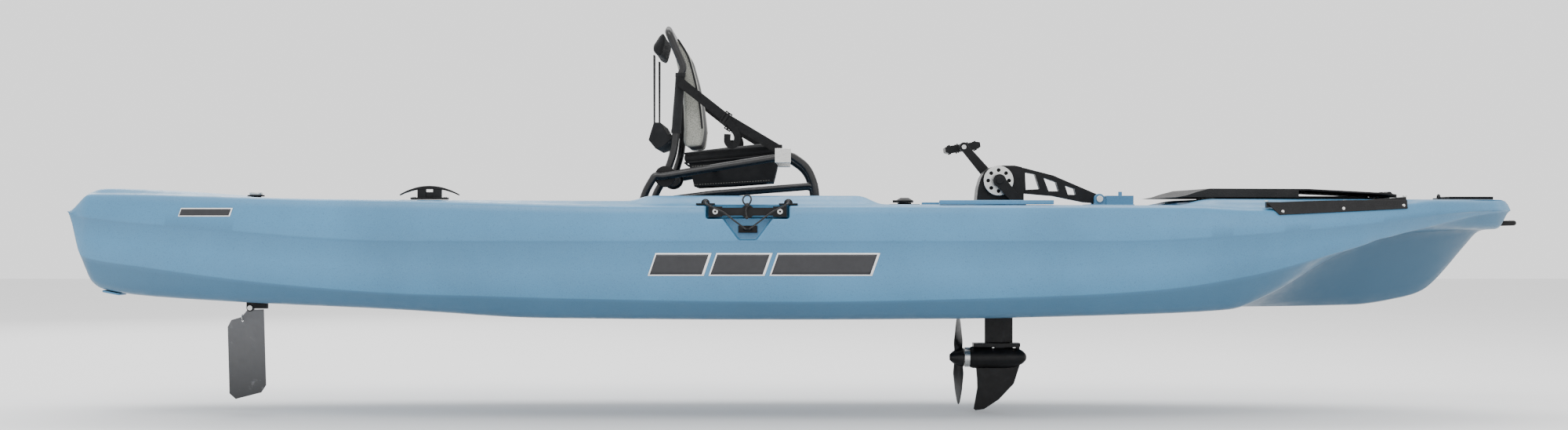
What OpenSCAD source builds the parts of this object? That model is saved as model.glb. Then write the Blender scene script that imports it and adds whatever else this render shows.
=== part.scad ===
// Pedal-drive sit-on-top kayak, laid out as an assembly of separate pieces.
// Frame: +X towards the bow, +Y to port, +Z up. The origin lies amidships on the
// centreline, at the level of the lowest point of the pontoons.

/* [Hull] */
// Overall length of the moulded hull
hull_len = 3830; // [3200:10:4600]
// Widest beam of the hull
hull_beam = 900; // [760:10:1080]
// Thickness of the moulded wall
wall = 6; // [4:0.5:8]
// Height of the rim beside the foot wells
rim_z = 295; // [290:1:340]
// Height of the coaming around the seat
coaming_z = 322; // [318:1:360]
// Height of the foot well floor
foot_floor_z = 115; // [95:1:150]
// Height of the deck that the seat stands on
seat_deck_z = 235; // [215:1:250]
// Height of the tank well floor behind the seat
tank_floor_z = 175; // [150:1:215]
// Radius of each drain hole through the hull
scupper_r = 14; // [8:1:18]
// Width of the slot that the drive passes through
slot_w = 72; // [64:1:84]

/* [Pedal drive] */
// Distance of the crank axle ahead of the origin
crank_x = 530; // [515:1:545]
// Height of the crank axle
crank_z = 365; // [360:1:385]
// Length of a crank arm from axle to pedal spindle
crank_len = 125; // [100:1:140]
// Distance from the centreline to the middle of a pedal
pedal_y = 172; // [160:1:190]
// Width of a pedal platform across the boat
pedal_w = 88; // [70:1:100]
// Length of a pedal platform, fore and aft
pedal_len = 98; // [80:1:110]
// Height of the propeller shaft, below the hull bottom
prop_z = -113; // [-130:1:-110]
// Radius of the propeller
prop_r = 128; // [90:1:130]
// Outer radius of the gear pod
pod_r = 30; // [28:0.5:34]

/* [Seat] */
// Distance between the two side frames of the seat
seat_w = 480; // [400:5:540]
// Diameter of the seat's frame tube
tube_d = 20; // [16:1:25]
// Height of the top of the backrest
back_top_z = 760; // [640:5:820]
// Thickness of the seat cushion
cushion_t = 30; // [20:1:40]

/* [Rudder] */
// Distance of the steering axis behind the origin
rudder_x = 1481; // [1440:1:1500]
// Depth of the blade below its hinge
blade_len = 250; // [180:5:280]
// Thickness of the blade
blade_t = 5; // [3:0.5:8]

/* [Fittings] */
// Length of a side carry handle
handle_len = 197; // [150:1:220]
// Radius of the heads of the deck screws
screw_r = 6; // [4:0.5:7]
// Diameter of the elastic cords
bungee_d = 4.5; // [3:0.5:6]

/* [Hidden] */

// ---------------------------------------------------------------- clearances
fit = 0.05;          // radial clearance of a turning fit
seat_gap = 0.3;      // between a piece and the surface it is fastened to
soft_gap = 0.6;      // between fabric and what it passes
eps = 0.01;          // lets one cut run past another

// ------------------------------------------------------------ curve functions
// A smooth curve through [position, value] pairs, with slopes from its neighbours.
function seg_slope(t, i) = (t[i + 1][1] - t[i][1]) / (t[i + 1][0] - t[i][0]);
function knot_slope(t, i) =
    i == 0 || i == len(t) - 1 ? 0 :
    let (a = seg_slope(t, i - 1), b = seg_slope(t, i))
    a * b <= 0 ? 0 : 2 * a * b / (a + b);
function segment_of(t, x, i = 0) =
    i >= len(t) - 2 || x < t[i + 1][0] ? i : segment_of(t, x, i + 1);
function hermite(p, q, a, b, h, s) =
    p * (1 + 2 * s) * (1 - s) * (1 - s) + q * s * s * (3 - 2 * s)
    + h * (a * s * (1 - s) * (1 - s) - b * s * s * (1 - s));
function curve(t, x) =
    x <= t[0][0] ? t[0][1] :
    x >= t[len(t) - 1][0] ? t[len(t) - 1][1] :
    let (i = segment_of(t, x), h = t[i + 1][0] - t[i][0], s = (x - t[i][0]) / h)
    hermite(t[i][1], t[i + 1][1], knot_slope(t, i), knot_slope(t, i + 1), h, s);
function clamp(v, lo, hi) = min(max(v, lo), hi);

// --------------------------------------------------------------- hull surface
// Positions along the hull run from -1915 at the stern to 1915 at the bow on the
// standard length, and stretch with the hull's length outside the cockpit.
half_len = hull_len / 2;
std_half = 1915;
cockpit = 1000;      // the middle stretch keeps its place when the length changes
function to_std(x) =
    abs(x) <= cockpit ? x :
    sign(x) * (cockpit + (abs(x) - cockpit) * (std_half - cockpit) / (half_len - cockpit));
function to_real(s) =
    abs(s) <= cockpit ? s :
    sign(s) * (cockpit + (abs(s) - cockpit) * (half_len - cockpit) / (std_half - cockpit));

plan_curve = [[-1915, 0.58], [-1850, 0.66], [-1600, 0.79], [-1000, 0.955], [-200, 1], [200, 1],
    [900, 0.935], [1400, 0.73], [1700, 0.48], [1850, 0.27], [1900, 0.14], [1915, 0.09]];
rim_curve = [[-1915, 283], [-1883, 307], [-1852, 328], [-1245, 313], [-970, rim_z + 14],
    [-466, rim_z + 2], [1000, rim_z], [1140, 289], [1330, 289], [1560, 302], [1650, 312],
    [1881, 312], [1906, 300], [1915, 286]];
deck_curve = [[-1915, 285], [-1870, 326], [-1819, 342], [-1389, 317], [-1000, rim_z + 17],
    [-440, rim_z + 14], [-395, coaming_z], [147, coaming_z], [205, rim_z + 5], [960, rim_z + 3],
    [1060, 314], [1640, 314], [1881, 314], [1906, 302], [1915, 288]];
pontoon_curve = [[-1915, 282], [-1900, 219], [-1875, 138], [-1855, 94], [-1830, 78], [-1686, 58],
    [-1029, 25], [-660, 4], [-47, 0], [362, 2], [771, 10], [1108, 24], [1225, 66], [1365, 146],
    [1435, 181], [1500, 211], [1600, 226], [1750, 233], [1870, 234], [1915, 284]];
tunnel_curve = [[-1915, 283], [-1900, 240], [-1875, 180], [-1840, 140], [-1780, 124], [-1400, 122],
    [-1150, 90], [-700, 62], [400, 52], [900, 36], [1150, 24], [1493, 29], [1632, 50], [1684, 67],
    [1713, 89], [1807, 197], [1838, 230], [1880, 236], [1915, 285]];
upper_chine_curve = [[-1915, 283], [-1880, 272], [-1600, 246], [-1000, 209], [800, 209],
    [1100, 222], [1300, 238], [1915, 286]];
lower_chine_curve = [[-1915, 283], [-1880, 170], [-1700, 140], [-1330, 96], [-970, 72], [0, 54],
    [600, 66], [900, 82], [1150, 118], [1400, 180], [1600, 234], [1915, 285]];
// Half widths as shares of the half beam at the same place
low_share_curve = [[-1915, 0.96], [-1400, 0.93], [0, 0.935], [900, 0.92], [1400, 0.88],
    [1700, 0.92], [1915, 0.96]];
bottom_share_curve = [[-1915, 0.9], [-1400, 0.83], [0, 0.82], [900, 0.8], [1400, 0.74],
    [1700, 0.84], [1915, 0.9]];
inner_share_curve = [[-1915, 0.5], [-1400, 0.46], [-900, 0.34], [0, 0.3], [700, 0.34],
    [1100, 0.4], [1400, 0.42], [1700, 0.4], [1915, 0.3]];
roof_half_curve = [[-1915, 60], [-1850, 92], [-1400, 92], [-1000, 86], [400, 84], [900, 60],
    [1150, 26], [1600, 16], [1915, 10]];

function half_beam(x) = hull_beam / 2 * curve(plan_curve, to_std(x));
function rim_height(x) = curve(rim_curve, to_std(x));
function deck_height(x) = max(curve(deck_curve, to_std(x)), rim_height(x) + 0.5);
function pontoon_height(x) = curve(pontoon_curve, to_std(x));
function tunnel_height(x) = curve(tunnel_curve, to_std(x));

// Half of a cross section, as [y, z], from the middle of the deck to the keel.
// inset moves it inwards by the wall.
function half_section(x, inset = 0) =
    let (s = to_std(x), b = half_beam(x), rim = rim_height(x), deck = deck_height(x),
        low = min(pontoon_height(x), rim - 1), roof = min(tunnel_height(x), rim - 0.5),
        up = clamp(curve(upper_chine_curve, s), low + 0.4, rim - 0.4),
        down = clamp(curve(lower_chine_curve, s), low + 0.2, up - 0.2),
        below = min(low, roof),
        edge = min(14, (rim - low) / 4), crease = min(10, (up - down) / 4),
        bilge = min(14, (down - low) / 2),
        side = clamp((roof - low) / 20, -1, 1) * inset,
        y_low = b * curve(low_share_curve, s), y_bottom = b * curve(bottom_share_curve, s),
        y_in = b * curve(inner_share_curve, s), y_roof = min(curve(roof_half_curve, s), y_in * 0.9),
        in_y = max(y_in + side, 3), roof_y = clamp(y_roof + side, 1, in_y - 1))
    [
        [0, deck - inset], [b * 0.45, deck - inset], [b * 0.8, deck - inset],
        [b * 0.84, deck - 2 - inset], [b * 0.885 - inset / 2, rim + 1 - inset],
        [b - min(26, b / 6) - inset, rim - inset], [b - min(12, b / 12) - inset, rim - 3 - inset],
        [b - min(6, b / 20) - inset, rim - edge - inset], [b - inset, up],
        [b - min(5, b / 20) - inset, up - crease],
        [y_low - inset, down], [y_low - min(5, b / 20) - inset, down - crease / 2 + inset / 4],
        [y_bottom - inset, low + bilge + inset],
        [y_bottom - min(24, b / 9) - inset, low + inset],
        [in_y + min(16, b / 14), low + inset], [in_y, low + min(8, max(roof - low, 0) / 6) + inset],
        [roof_y, roof + inset], [0, roof + inset]
    ];
function ring_of(half, x) = concat(
    [for (p = half) [x, p[0], p[1]]],
    [for (i = [len(half) - 2 : -1 : 1]) [x, -half[i][0], half[i][1]]]);
module loft(rings) {
    n = len(rings[0]);
    last = len(rings) - 1;
    polyhedron(
        points = [for (r = rings) each r],
        faces = concat(
            [[for (j = [n - 1 : -1 : 0]) j]],
            [for (i = [0 : last - 1], j = [0 : n - 1]) each [
                [i * n + j, i * n + (j + 1) % n, (i + 1) * n + (j + 1) % n],
                [i * n + j, (i + 1) * n + (j + 1) % n, (i + 1) * n + j]]],
            [[for (j = [0 : n - 1]) last * n + j]]));
}
stations = [-1915, -1908, -1900, -1888, -1875, -1864, -1852, -1830, -1780, -1700, -1600, -1480,
    -1400, -1250, -1100, -950, -800, -600, -460, -425, -395, -300, -150, 0, 120, 160, 205, 300, 450,
    600, 750, 900, 1000, 1060, 1108, 1165, 1225, 1295, 1365, 1435, 1500, 1560, 1632, 1684, 1713,
    1760, 1807, 1838, 1870, 1890, 1906, 1915];
module hull_outside() { loft([for (s = stations) let (x = to_real(s)) ring_of(half_section(x), x)]); }
end_wall = 14;       // distance between the hull's ends and the hollow inside
hollow_from = 3;     // first station used for the hollow
hollow_to = 46;      // last station used for the hollow
module hull_inside() {
    squeeze = (half_len - end_wall) / half_len;
    loft([for (i = [hollow_from : hollow_to])
        let (x = to_real(stations[i])) ring_of(half_section(x, wall), x * squeeze)]);
}

// A pocket with round corners and sloping sides, open upwards.
pocket_r = 30;
pocket_draft = 14;
pocket_sides = 14;    // facets around a corner, which also set how far a corner's foot reaches
module pocket(x0, x1, y0, y1, floor_z, top_z, r = pocket_r) {
    corners = [[x0, y0, 1, 1], [x1, y0, -1, 1], [x0, y1, 1, -1], [x1, y1, -1, -1]];
    hull() for (c = corners) {
        translate([c[0] + c[2] * (r + pocket_draft), c[1] + c[3] * (r + pocket_draft),
            floor_z + r * cos(180 / pocket_sides)]) sphere(r, $fn = pocket_sides);
        translate([c[0] + c[2] * r, c[1] + c[3] * r, top_z])
            cylinder(r = r, h = 1, $fn = pocket_sides);
    }
}

// Cockpit and wells; grow makes each one larger by the wall on every side.
above_deck = 420;
tank_from = -1400;
tank_to = -650;
tank_half = 262;
seat_from = -600;
seat_to = 175;
seat_half = 332;
foot_from = 165;
foot_to = 1000;
hump_half = 68;
slot_from = 195;
slot_to = 632;
foot_half = min(330, hull_beam * 0.366);
scuppers = [[-1250, 170], [-800, 190], [300, 150], [760, 150]];
recess_z = rim_z - 33;       // lower edge of a side handle's recess
recess_top_z = rim_z + 4;
recess_x = -139;             // middle of a side handle's recess
recess_deep = 44;
recess_round = 6;
module well_cuts(grow = 0) {
    pocket(tank_from - grow, tank_to + grow, -tank_half - grow, tank_half + grow,
        tank_floor_z - grow, above_deck);
    pocket(seat_from - grow, seat_to + grow, -seat_half - grow, seat_half + grow,
        seat_deck_z - grow, above_deck);
    for (side = [-1, 1]) {
        pocket(foot_from - grow, foot_to + grow,
            min(side * (hump_half - grow), side * (foot_half + grow)),
            max(side * (hump_half - grow), side * (foot_half + grow)), foot_floor_z - grow, above_deck);
        side_recess(side, grow);
        for (s = scuppers) translate([s[0], side * s[1], -60])
            cylinder(r = scupper_r + grow, h = above_deck, $fn = 16);
    }
    translate([slot_from - grow, -slot_w / 2 - grow, -80])
        cube([slot_to - slot_from + 2 * grow, slot_w + 2 * grow, above_deck + 200]);
}
module side_recess(side, grow) {
    b = half_beam(recess_x);
    half_long = handle_len / 2 + 7;
    round_r = recess_round;
    in_y = b - recess_deep + round_r - grow;
    for (part = [[half_long, half_long, recess_z, recess_top_z], [64, 22, recess_z - 54, recess_z]])
        hull() for (e = [-1, 1], y = [in_y, b + 40]) {
            translate([recess_x + e * (part[0] + grow - round_r), side * y, part[3] + grow - round_r])
                sphere(round_r, $fn = 10);
            translate([recess_x + e * ((part[3] == recess_z ? part[1] : part[0]) + grow - round_r),
                side * y, part[2] - grow + round_r]) sphere(round_r, $fn = 10);
        }
}
hatch_from = 1130;
hatch_to = 1490;
hatch_half = 150;
handle_pocket_z = 266;
stock_r = 9;
stock_tube_r = 14;
module boat_hull() {
    color("steelblue") difference() {
        hull_outside();
        well_cuts();
        difference() {
            hull_inside();
            well_cuts(wall);
            rudder_boss(stock_tube_r + wall, 0);
        }
        rudder_boss(stock_tube_r / cos(180 / 32) + seat_gap, 40);
        hull() for (x = [hatch_from + 40, hatch_to - 40], side = [-1, 1])
            translate([x, side * (hatch_half - 40), 285]) cylinder(r = 40, h = 60, $fn = 24);
        hull() for (x = [1845, 1960], side = [-1, 1])
            translate([x, side * 26, 150]) cylinder(r = 8, h = handle_pocket_z - 150, $fn = 12);
    }
}
module rudder_boss(r, beyond) {
    low = tunnel_height(-rudder_x);
    translate([-rudder_x, 0, low - beyond])
        cylinder(r = r, h = deck_height(-rudder_x) - low + 2 * beyond, $fn = 32);
}

// --------------------------------------------------------------- shape helpers
function unit(v) = v / norm(v);
// A round bar or cord along a list of points; side is any direction the path never takes.
module sweep(path, r, sides = 10, side = [0, 1, 0]) {
    n = len(path);
    loft([for (i = [0 : n - 1])
        let (t = unit(path[min(i + 1, n - 1)] - path[max(i - 1, 0)]),
            u = unit(cross(side, t)), v = cross(u, t))
        [for (k = [0 : sides - 1]) path[i] + r * (cos(360 * k / sides) * u + sin(360 * k / sides) * v)]]);
}
// Rounds each inner corner of a path with an arc-like bend of the given reach.
function bent(path, reach, steps = 4) =
    concat([path[0]],
        [for (i = [1 : len(path) - 2])
            let (p = path[i], a = p + unit(path[i - 1] - p) * reach, b = p + unit(path[i + 1] - p) * reach)
            each [for (k = [0 : steps]) let (s = k / steps)
                (1 - s) * (1 - s) * a + 2 * s * (1 - s) * p + s * s * b]],
        [path[len(path) - 1]]);
// A cylinder lying along X or Y, centred on the origin
module rod_x(r, h) { rotate([0, 90, 0]) cylinder(r = r, h = h, center = true, $fn = 48); }
module rod_y(r, h) { rotate([90, 0, 0]) cylinder(r = r, h = h, center = true, $fn = 48); }
// An outline in X and Z, extruded across the boat about the centreline
module side_plate(points, t) { rotate([90, 0, 0]) linear_extrude(t, center = true) polygon(points); }
module block(x0, x1, y0, y1, z0, z1) { translate([x0, y0, z0]) cube([x1 - x0, y1 - y0, z1 - z0]); }
module both_sides() { for (side = [-1, 1]) scale_y(side) children(); }
module scale_y(side) { if (side > 0) children(); else mirror([0, 1, 0]) children(); }
module screw(r, drop) {
    cylinder(r = r, h = r / 3, $fn = 24);
    translate([0, 0, -drop]) cylinder(r = r * 0.45, h = drop + eps, $fn = 16);
}

// ---------------------------------------------------------------- hull fittings
module skid_plates() {
    x0 = to_real(-1826);
    x1 = to_real(-1782);
    thick = 5;
    b0 = half_beam(x0);
    color("black") both_sides() hull() for (x = [x0, x1], drop = [3 * seat_gap, 3 * seat_gap + thick])
        for (y = [b0 * 0.6, b0 * 0.8]) translate([x, y, pontoon_height(x) - drop - 0.2])
            cube([1, 2, 0.2]);
}
grip_r = 7;
grip_z = 251;
module bow_handle() {
    x0 = to_real(1862);
    x1 = to_real(1939) - grip_r;
    half = 17;
    top_z = handle_pocket_z - seat_gap;
    color("black") sweep(bent([[x0, -half, top_z], [x0, -half, grip_z - 2], [x1, -half, grip_z],
        [x1, half, grip_z], [x0, half, grip_z - 2], [x0, half, top_z]], 9), grip_r, 12, [0.5, 0.31, 0.4]);
}
plate_x0 = 1745;
plate_x1 = 1868;
plate_t = 8;
plate_half = 52;
insert_r = 3.2;
insert_pitch_x = 80;
insert_pitch_y = 60;
function plate_mid() = (to_real(plate_x0) + to_real(plate_x1)) / 2;
function plate_z() = deck_height(plate_mid()) + seat_gap;
module insert_places() {
    for (i = [-1, 1], j = [-1, 1])
        translate([plate_mid() + i * insert_pitch_x / 2, j * insert_pitch_y / 2, plate_z()]) children();
}
module bow_plate() {
    half_long = (plate_x1 - plate_x0) / 2;
    color("black") difference() {
        translate([plate_mid(), 0, plate_z()]) linear_extrude(plate_t) polygon([
            [-half_long, -plate_half], [half_long, -plate_half + 14], [half_long, plate_half - 14],
            [-half_long, plate_half]]);
        insert_places() translate([0, 0, -1]) cylinder(r = insert_r + 2, h = plate_t + 2);
    }
}
module bow_plate_inserts() {
    color("goldenrod") insert_places() difference() {
        cylinder(r = insert_r + 2, h = plate_t);
        translate([0, 0, -1]) cylinder(r = insert_r, h = plate_t + 2);
    }
}

// Bow hatch: a rim around the opening, a seal, and a long lid hinged at its front end
rim_t = 5;
lid_from = 968;
lid_to = 1556;
lid_half = 286;
lid_nose_half = 230;
lid_taper = 11;
lid_top_z = 342;
lid_skirt_z = 318;
lid_t = 4;
hinge_pin_r = 4;
hinge_x = 1574;
hinge_z = 327;
rim_top_z = 320.5;
module plan_ring(x0, x1, half, r, z, h, cut) {
    translate([0, 0, z]) linear_extrude(h) difference() {
        rounded_plan(x0, x1, half, r);
        rounded_plan(x0 + cut, x1 - cut, half - cut, max(r - cut, 1));
    }
}
module rounded_plan(x0, x1, half, r) {
    translate([x0 + r, -half]) square([x1 - x0 - 2 * r, 2 * half]);
    translate([x0, -half + r]) square([x1 - x0, 2 * half - 2 * r]);
    for (x = [x0 + r, x1 - r], y = [-half + r, half - r]) translate([x, y]) circle(r, $fn = 40);
}
module hatch_rim() {
    z = 314 + seat_gap;
    color("black") {
        plan_ring(hatch_from - 34, hatch_to + 34, hatch_half + 34, 60, z, rim_t, 40);
        plan_ring(hatch_from - 4, hatch_to + 4, hatch_half + 4, 44, z, rim_top_z - z, 6);
        both_sides() translate([0, 40, 0]) hinge_ear(22);
    }
}
module hinge_ear(w) {
    base = 314 + seat_gap;
    difference() {
        union() {
            translate([hinge_x, w / 2, hinge_z]) rod_y(hinge_pin_r + 4, w);
            block(hinge_x - 8, hinge_x + 8, 0, w, base, hinge_z);
            block(hatch_to + 26, hinge_x, 0, w, base, base + rim_t);
        }
        translate([hinge_x, w / 2, hinge_z]) rod_y(hinge_pin_r, w + 2);
    }
}
module hatch_hinge_pin() {
    color("silver") translate([hinge_x, 0, hinge_z]) rod_y(hinge_pin_r - fit, 150);
}
module hatch_seal() {
    color("dimgray") plan_ring(hatch_from - 12, hatch_to + 12, hatch_half + 12, 48,
        314 + seat_gap + rim_t, 3, 6);
}
module hatch_lid() {
    wall_in = lid_t;
    color("#222222") {
        difference() {
            rotate([90, 0, 0]) linear_extrude(2 * lid_half, center = true) polygon(lid_outline(0));
            rotate([90, 0, 0]) linear_extrude(2 * (lid_half - wall_in), center = true)
                polygon(lid_outline(wall_in));
            for (side = [-1, 1]) translate([lid_to, side * lid_nose_half, 200])
                rotate([0, 0, -side * lid_taper]) translate([-500, side > 0 ? 0 : -90, 0])
                cube([700, 90, 300]);
            block(hinge_x - 22, hinge_x + 40, 38, 64, 300, 360);
            block(hinge_x - 22, hinge_x + 40, -64, -38, 300, 360);
        }
        for (y = [-12, 66, -90]) difference() {
            union() {
                translate([hinge_x, y + 12, hinge_z]) rod_y(hinge_pin_r + 4, 24);
                block(lid_to - 20, hinge_x, y, y + 24, hinge_z - 3, hinge_z + 4);
            }
            translate([hinge_x, y + 12, hinge_z]) rod_y(hinge_pin_r, 30);
        }
    }
}
function lid_outline(inset) = [
    [lid_from + inset, lid_skirt_z - 10 * (inset > 0 ? 1 : 0)],
    [lid_from + 28 + inset, lid_skirt_z + 5 - inset], [lid_from + 55 + inset, lid_top_z - 10 - inset],
    [lid_from + 90 + inset, lid_top_z - 1 - inset], [1316, lid_top_z - 2 - inset],
    [lid_to - 26 - inset, lid_top_z - 12 - inset], [lid_to - inset, lid_skirt_z + 8 - inset],
    [lid_to - inset, lid_skirt_z - 10 * (inset > 0 ? 1 : 0)]];

rail_x = [1187, 1290, 1400, 1500, 1570];
rail_h = 15;
rail_w = 20;
function rail_y(x) = half_beam(x) - 31;
module side_rails() {
    color("black") both_sides() for (i = [0 : len(rail_x) - 2]) hull()
        for (x = [rail_x[i], rail_x[i + 1]], up = [0, 1])
            translate([x, rail_y(x), rim_height(x) + 1.5 + up * (rail_h - 1.5)])
                cube([4, rail_w - up * 6, 1.5]);
}
module rail_screw_set() {
    color("silver") both_sides() for (i = [0, 2, 4]) let (x = rail_x[i])
        translate([x + 2, rail_y(x) + rail_w / 2 - 3, rim_height(x) + 1.5 + rail_h + 2 * seat_gap])
            cylinder(r = screw_r - 0.5, h = 3);
}

// Side carry handles: a bar lying in its recess, held by a screw at each end
bar_t = 24;
bar_z = (recess_z + recess_top_z) / 2;
function bar_y() = half_beam(recess_x) - recess_deep + seat_gap;
foot_h = 26;
module side_handle(side) {
    half_long = handle_len / 2;
    foot = 34;
    color("black") scale_y(side) translate([recess_x, bar_y(), bar_z]) {
        difference() {
            union() {
                for (e = [-1, 1]) translate([e * (half_long - foot / 2), bar_t / 2, 0])
                    cube([foot, bar_t, foot_h], center = true);
                translate([0, bar_t - 6, 0]) cube([2 * half_long - 10, 12, 20], center = true);
                translate([0, bar_t - 8, 0]) rod_y(17, 15);
            }
            for (e = [-1, 1]) translate([e * (half_long - foot / 2), bar_t / 2, 0])
                rod_y(screw_r * 0.45 + fit, bar_t + 2);
        }
    }
}
module side_handle_left() { side_handle(1); }
module side_handle_right() { side_handle(-1); }
module handle_screw_set() {
    color("silver") both_sides() for (e = [-1, 1])
        translate([recess_x + e * (handle_len / 2 - 17), bar_y() + bar_t, bar_z])
        rotate([-90, 0, 0]) screw(screw_r, bar_t - 1);
}
module deck_screws() {
    handle_screw_set();
    rail_screw_set();
}
eye_z = recess_z - 30;
eye_x = [-246, -36];
module pad_eyes() {
    bow_x = plate_mid() - (plate_x1 - plate_x0) / 2 - 14;
    color("black") translate([bow_x, 0, deck_height(bow_x) + 0.5]) rotate([0, 0, 90]) pad_eye();
    color("black") both_sides() {
        for (x = eye_x) translate([x, half_beam(x) * 0.925, rim_height(x) + 1.4]) pad_eye();
        translate([recess_x, half_beam(recess_x) - recess_deep + seat_gap, eye_z + 4])
            rotate([-90, 0, 0]) pad_eye();
    }
}
module pad_eye() {
    block(-24, 24, -9, 9, 0, 4);
    translate([0, 0, 4 - eps]) rotate([90, 0, 0]) rotate_extrude(angle = 180, $fn = 48)
        translate([8, 0]) circle(3.2, $fn = 20);
}
module side_bungees() {
    out_y = bar_y() + bar_t + 7;
    color("dimgray") both_sides() {
        for (x = eye_x) let (top = [x, half_beam(x) + 8, rim_height(x) + 2],
            low = [recess_x + sign(x - recess_x) * 5, out_y - 14, eye_z + 4])
            sweep(bent([[x, half_beam(x) * 0.925 + 8, rim_height(x) + 9], top,
                [recess_x + sign(x - recess_x) * 40, out_y + 13, recess_z], low], 8, 3),
                bungee_d / 2, 8, [1, 0.3, 0.2]);
    }
}

// Anchor cleat: a ribbed post carrying an arched horn plate
cleat_x = -957;
cleat_y = -340;
cleat_top_z = 347;
module anchor_cleat() {
    z0 = deck_height(cleat_x) + seat_gap;
    color("black") translate([cleat_x, cleat_y, z0]) {
        translate([-30, -14, 0]) cube([60, 28, 4]);
        for (x = [-18, -6, 6, 18]) translate([x - 3, -8, 4 - eps]) cube([6, 16, cleat_top_z - z0 - 12]);
        rotate([90, 0, 0]) linear_extrude(24, center = true) polygon([
            [-76, 18], [-60, cleat_top_z - z0 - 8], [-24, cleat_top_z - z0], [24, cleat_top_z - z0],
            [60, cleat_top_z - z0 - 8], [76, 18], [56, cleat_top_z - z0 - 18],
            [24, cleat_top_z - z0 - 10], [-24, cleat_top_z - z0 - 10], [-56, cleat_top_z - z0 - 18]]);
    }
}

// Steering knob on the port side, turned by the left hand
knob_x = 300;
knob_y = 378;
knob_r = 26;
spindle_r = 5;
function knob_z() = rim_height(knob_x) + 4;
module steering_base() {
    color("black") translate([knob_x, knob_y, knob_z()]) difference() {
        union() {
            translate([-43, -22, 0]) cube([86, 44, 5]);
            cylinder(r = 20, h = 9);
        }
        translate([0, 0, -1]) cylinder(r = spindle_r, h = 12);
    }
}
module steering_knob() {
    color("#1c1c20") translate([knob_x, knob_y, knob_z()]) {
        translate([0, 0, 1]) cylinder(r = spindle_r - fit, h = 12);
        translate([0, 0, 9 + seat_gap]) cylinder(r = knob_r, h = 6);
        translate([0, 0, 15]) cylinder(r1 = knob_r, r2 = 12, h = 8, $fn = 48);
        translate([-knob_r - 8, -5, 9 + seat_gap]) cube([20, 10, 7]);
    }
}

// Gear tracks beside the foot wells
track_x0 = 350;
track_x1 = 640;
track_w = 32;
track_slot = 9;
track_h = 11;
module gear_tracks() {
    z = rim_z + 4;
    color("#1a1a1a") both_sides() translate([track_x0, knob_y - track_w / 2, z]) difference() {
        cube([track_x1 - track_x0, track_w, track_h]);
        translate([-1, (track_w - track_slot) / 2, 3])
            cube([track_x1 - track_x0 + 2, track_slot, track_h]);
        translate([-1, track_w / 2 - 9, 3]) cube([track_x1 - track_x0 + 2, 18, 5]);
    }
}

// --------------------------------------------------------------------- rudder
stock_bottom_z = 31;
hinge_back = -15;            // the blade hinge lies this far behind the steering axis
rudder_hinge_z = 21;
rudder_hinge_r = 4;
hinge_boss_r = 10;
cheek_t = 4;
function rudder_hinge_x() = -rudder_x + hinge_back;
tube_flange_r = 23;
function flange_top_z() = deck_height(-rudder_x - tube_flange_r) + seat_gap + 4;
module rudder_tube() {
    low = tunnel_height(-rudder_x);
    high = deck_height(-rudder_x);
    color("black") translate([-rudder_x, 0, 0]) difference() {
        union() {
            translate([0, 0, low - 3]) cylinder(r = stock_tube_r, h = flange_top_z() - low + 1);
            translate([0, 0, flange_top_z() - 4]) cylinder(r = tube_flange_r, h = 4);
            translate([0, 0, low - 6 - seat_gap]) cylinder(r = tube_flange_r, h = 5);
        }
        translate([0, 0, low - 20]) cylinder(r = stock_r, h = high - low + 60);
    }
}
module rudder_stock() {
    color("silver") translate([-rudder_x, 0, 0]) {
        translate([0, 0, stock_bottom_z])
            cylinder(r = stock_r - fit, h = flange_top_z() - stock_bottom_z + 6);
        translate([0, 0, flange_top_z() + seat_gap]) cylinder(r = stock_r + 9, h = 7);
    }
}
module rudder_fork() {
    inner = blade_t / 2 + seat_gap;
    color("black") difference() {
        union() {
            block(-rudder_x - 25, -rudder_x + 32, -inner - cheek_t, inner + cheek_t, stock_bottom_z - 12,
                stock_bottom_z + 8);
            translate([-rudder_x, 0, stock_bottom_z]) cylinder(r = 15, h = 14);
            translate([rudder_hinge_x(), 0, rudder_hinge_z]) rod_y(hinge_boss_r, 2 * (inner + cheek_t));
        }
        translate([rudder_hinge_x(), 0, rudder_hinge_z]) rod_y(hinge_boss_r + 1.2, 2 * inner);
        block(-rudder_x - 40, -rudder_x + 40, -inner, inner, 0, stock_bottom_z - 1);
        translate([rudder_hinge_x(), 0, rudder_hinge_z]) rod_y(rudder_hinge_r, 60);
        translate([-rudder_x, 0, stock_bottom_z - eps]) cylinder(r = stock_r - fit, h = 30);
    }
}
module rudder_pin() {
    half = blade_t / 2 + seat_gap + cheek_t;
    color("silver") translate([rudder_hinge_x(), 0, rudder_hinge_z]) {
        rod_y(rudder_hinge_r - fit, 2 * half + 4);
        for (side = [-1, 1]) translate([0, side * (half + seat_gap + 1.5), 0]) rod_y(7, 3);
    }
}
ring_x = -22;                // of the line ring, from the blade hinge
ring_z = -35;
ring_r = 8;
module rudder_blade() {
    l = blade_len;
    color("#2b2b2b") translate([rudder_hinge_x(), 0, rudder_hinge_z]) difference() {
        union() {
            rod_y(hinge_boss_r, blade_t);
            side_plate([[36, -4], [42, -0.84 * l], [29, -0.92 * l], [-40, -0.99 * l], [-57, -0.93 * l],
                [-62, -52], [-52, -33], [-24, -25], [-8, -5]], blade_t);
        }
        rod_y(rudder_hinge_r, blade_t + 2);
        translate([ring_x, 0, ring_z]) rod_y(3, blade_t + 2);
    }
}
module rudder_ring() {
    color("silver") translate([rudder_hinge_x() + ring_x, 0, rudder_hinge_z + ring_z + ring_r])
        rotate([0, 90, 0]) rotate_extrude($fn = 40) translate([ring_r, 0]) circle(1.2, $fn = 16);
}

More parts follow.
